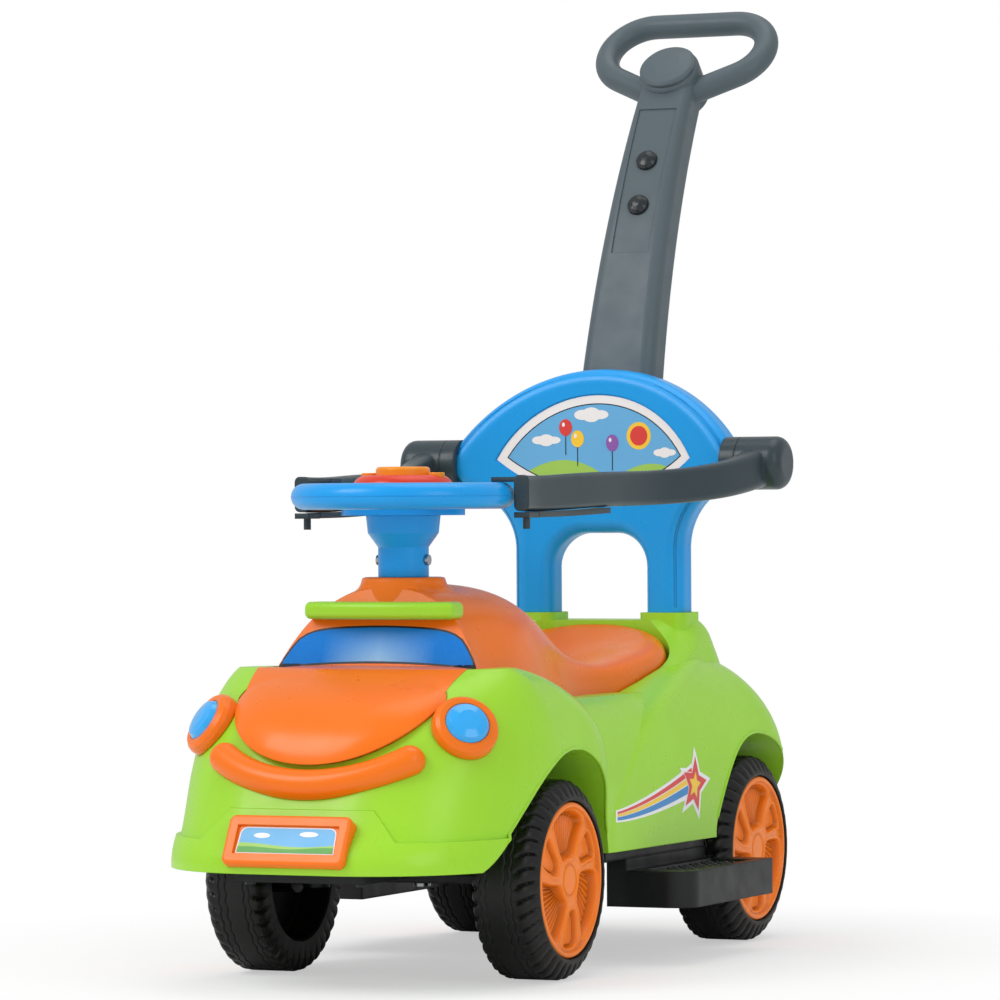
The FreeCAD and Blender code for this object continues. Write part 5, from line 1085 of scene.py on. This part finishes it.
def make_seams():
    """Moulding seam round the steering rim and a raised ring on the knob of each guard arm."""
    points, faces = ring(RIM_SEAM_AT, RIM_SEAM_RADIUS, RIM_SEAM_BEAD)
    make_piece("rim_seam", points, faces, [blue], "steering")
    for hand, side in SIDES:
        points, faces = ring((KNOB_X * side, KNOB_Y, KNOB_Z), KNOB_RING_RADIUS, KNOB_RING_BEAD, axis="x",
                             columns=KNOB_RING_COLUMNS)
        make_piece(f"knob_ring_{hand}", points, faces, [slate], f"arm_{hand}")


make_wheels()
make_back_backing()
make_hood_skin()
make_collar_flare()
make_screen()
make_backrest_print()
make_plate_print()
make_side_prints()
make_arch_lips()
make_treads()
make_seams()


# Camera, floor and light, in metres

CAMERA_AT = Vector((1.7887, -3.9964, 0.3764))
CAMERA_YAW = math.radians(24.21)
CAMERA_PITCH = math.radians(-0.09)
CAMERA_ROLL = math.radians(-0.34)
CAMERA_REACH = 50.0
FOCAL_SHARE = 5.1843
SENSOR = 36.0
AMBIENT = 0.62
FLOOR_SIZE = 30.0
FLOOR_AT = (0.0, 5.0, -0.0005)
TOY_ON_FLOOR = (0.0, -5.0, 0.0)
FLOOR_SPECK = 90.0
FLOOR_PALE = (0.93, 0.93, 0.93, 1.0)
FLOOR_PALER = (0.95, 0.95, 0.95, 1.0)
FLOOR_ROUGHNESS = 0.8
FLOOR_SPECULAR = 0.1
FLOOR_FADE = (0.3, 0.62)
FLOOR_LIFT = 0.5


def make_camera():
    """Camera fitted to the photograph."""
    ahead = Vector((-math.sin(CAMERA_YAW) * math.cos(CAMERA_PITCH),
                    math.cos(CAMERA_YAW) * math.cos(CAMERA_PITCH),
                    -math.sin(CAMERA_PITCH)))
    level = ahead.cross(UP).normalized()
    upright = level.cross(ahead)
    right = level * math.cos(CAMERA_ROLL) + upright * math.sin(CAMERA_ROLL)
    up = upright * math.cos(CAMERA_ROLL) - level * math.sin(CAMERA_ROLL)
    data = bpy.data.cameras.new("camera")
    data.sensor_width = SENSOR
    data.lens = FOCAL_SHARE * SENSOR
    data.clip_end = CAMERA_REACH
    camera = bpy.data.objects.new("camera", data)
    scene.collection.objects.link(camera)
    turn = Matrix((right, up, -ahead)).transposed().to_4x4()
    camera.matrix_world = Matrix.Translation(CAMERA_AT) @ turn
    scene.camera = camera


def area_light(name, at, towards, size, power):
    data = bpy.data.lights.new(name, "AREA")
    data.shape = "RECTANGLE"
    data.size = size[0]
    data.size_y = size[1]
    data.energy = power
    light = bpy.data.objects.new(name, data)
    scene.collection.objects.link(light)
    light.location = at
    light.rotation_euler = (Vector(towards) - Vector(at)).to_track_quat("-Z", "Y").to_euler()


def make_world():
    """White for what is seen directly; softer light for the rest."""
    world = bpy.data.worlds.new("studio")
    scene.world = world
    world.use_nodes = True
    tree = world.node_tree
    background = tree.nodes["Background"]
    background.inputs["Color"].default_value = (1.0, 1.0, 1.0, 1.0)
    path = add_node(tree, "ShaderNodeLightPath")
    seen = path.outputs["Is Camera Ray"]
    tree.links.new(map_range(tree, seen, 0.0, 1.0, AMBIENT, 1.0), background.inputs["Strength"])


def make_floor():
    """Pale floor that keeps the shadow near the toy and fades to white away from it."""
    bpy.ops.mesh.primitive_plane_add(size=FLOOR_SIZE, location=FLOOR_AT)
    floor = bpy.context.object
    floor.name = "floor"
    material, tree, shader = new_material("floor")
    floor.data.materials.append(material)
    coords = object_coords(tree)
    speck = noise_at(tree, coords, FLOOR_SPECK)
    tree.links.new(mix_colours(tree, speck, FLOOR_PALE, FLOOR_PALER), shader.inputs["Base Color"])
    shader.inputs["Roughness"].default_value = FLOOR_ROUGHNESS
    shader.inputs["Specular IOR Level"].default_value = FLOOR_SPECULAR
    away = add_node(tree, "ShaderNodeVectorMath", operation="DISTANCE")
    away.inputs[1].default_value = TOY_ON_FLOOR
    tree.links.new(coords, away.inputs[0])
    fade = map_range(tree, away.outputs["Value"], *FLOOR_FADE, FLOOR_LIFT, 1.0)
    path = add_node(tree, "ShaderNodeLightPath")
    seen = add_node(tree, "ShaderNodeMath", operation="MULTIPLY")
    tree.links.new(path.outputs["Is Camera Ray"], seen.inputs[0])
    tree.links.new(fade, seen.inputs[1])
    glow = add_node(tree, "ShaderNodeEmission")
    blend = add_node(tree, "ShaderNodeMixShader")
    tree.links.new(seen.outputs["Value"], blend.inputs["Fac"])
    tree.links.new(shader.outputs["BSDF"], blend.inputs[1])
    tree.links.new(glow.outputs["Emission"], blend.inputs[2])
    output = tree.nodes["Material Output"]
    tree.links.new(blend.outputs["Shader"], output.inputs["Surface"])


scene.view_settings.view_transform = "Standard"
make_camera()
make_world()
make_floor()
area_light("key", at=(-1.6, -2.2, 2.6), towards=(0.0, -0.1, 0.3), size=(1.6, 1.6), power=44.0)
area_light("fill", at=(2.6, -1.6, 1.4), towards=(0.0, 0.0, 0.3), size=(1.4, 1.8), power=14.0)
area_light("top", at=(0.2, 0.4, 2.8), towards=(0.0, 0.0, 0.3), size=(1.8, 1.8), power=16.0)
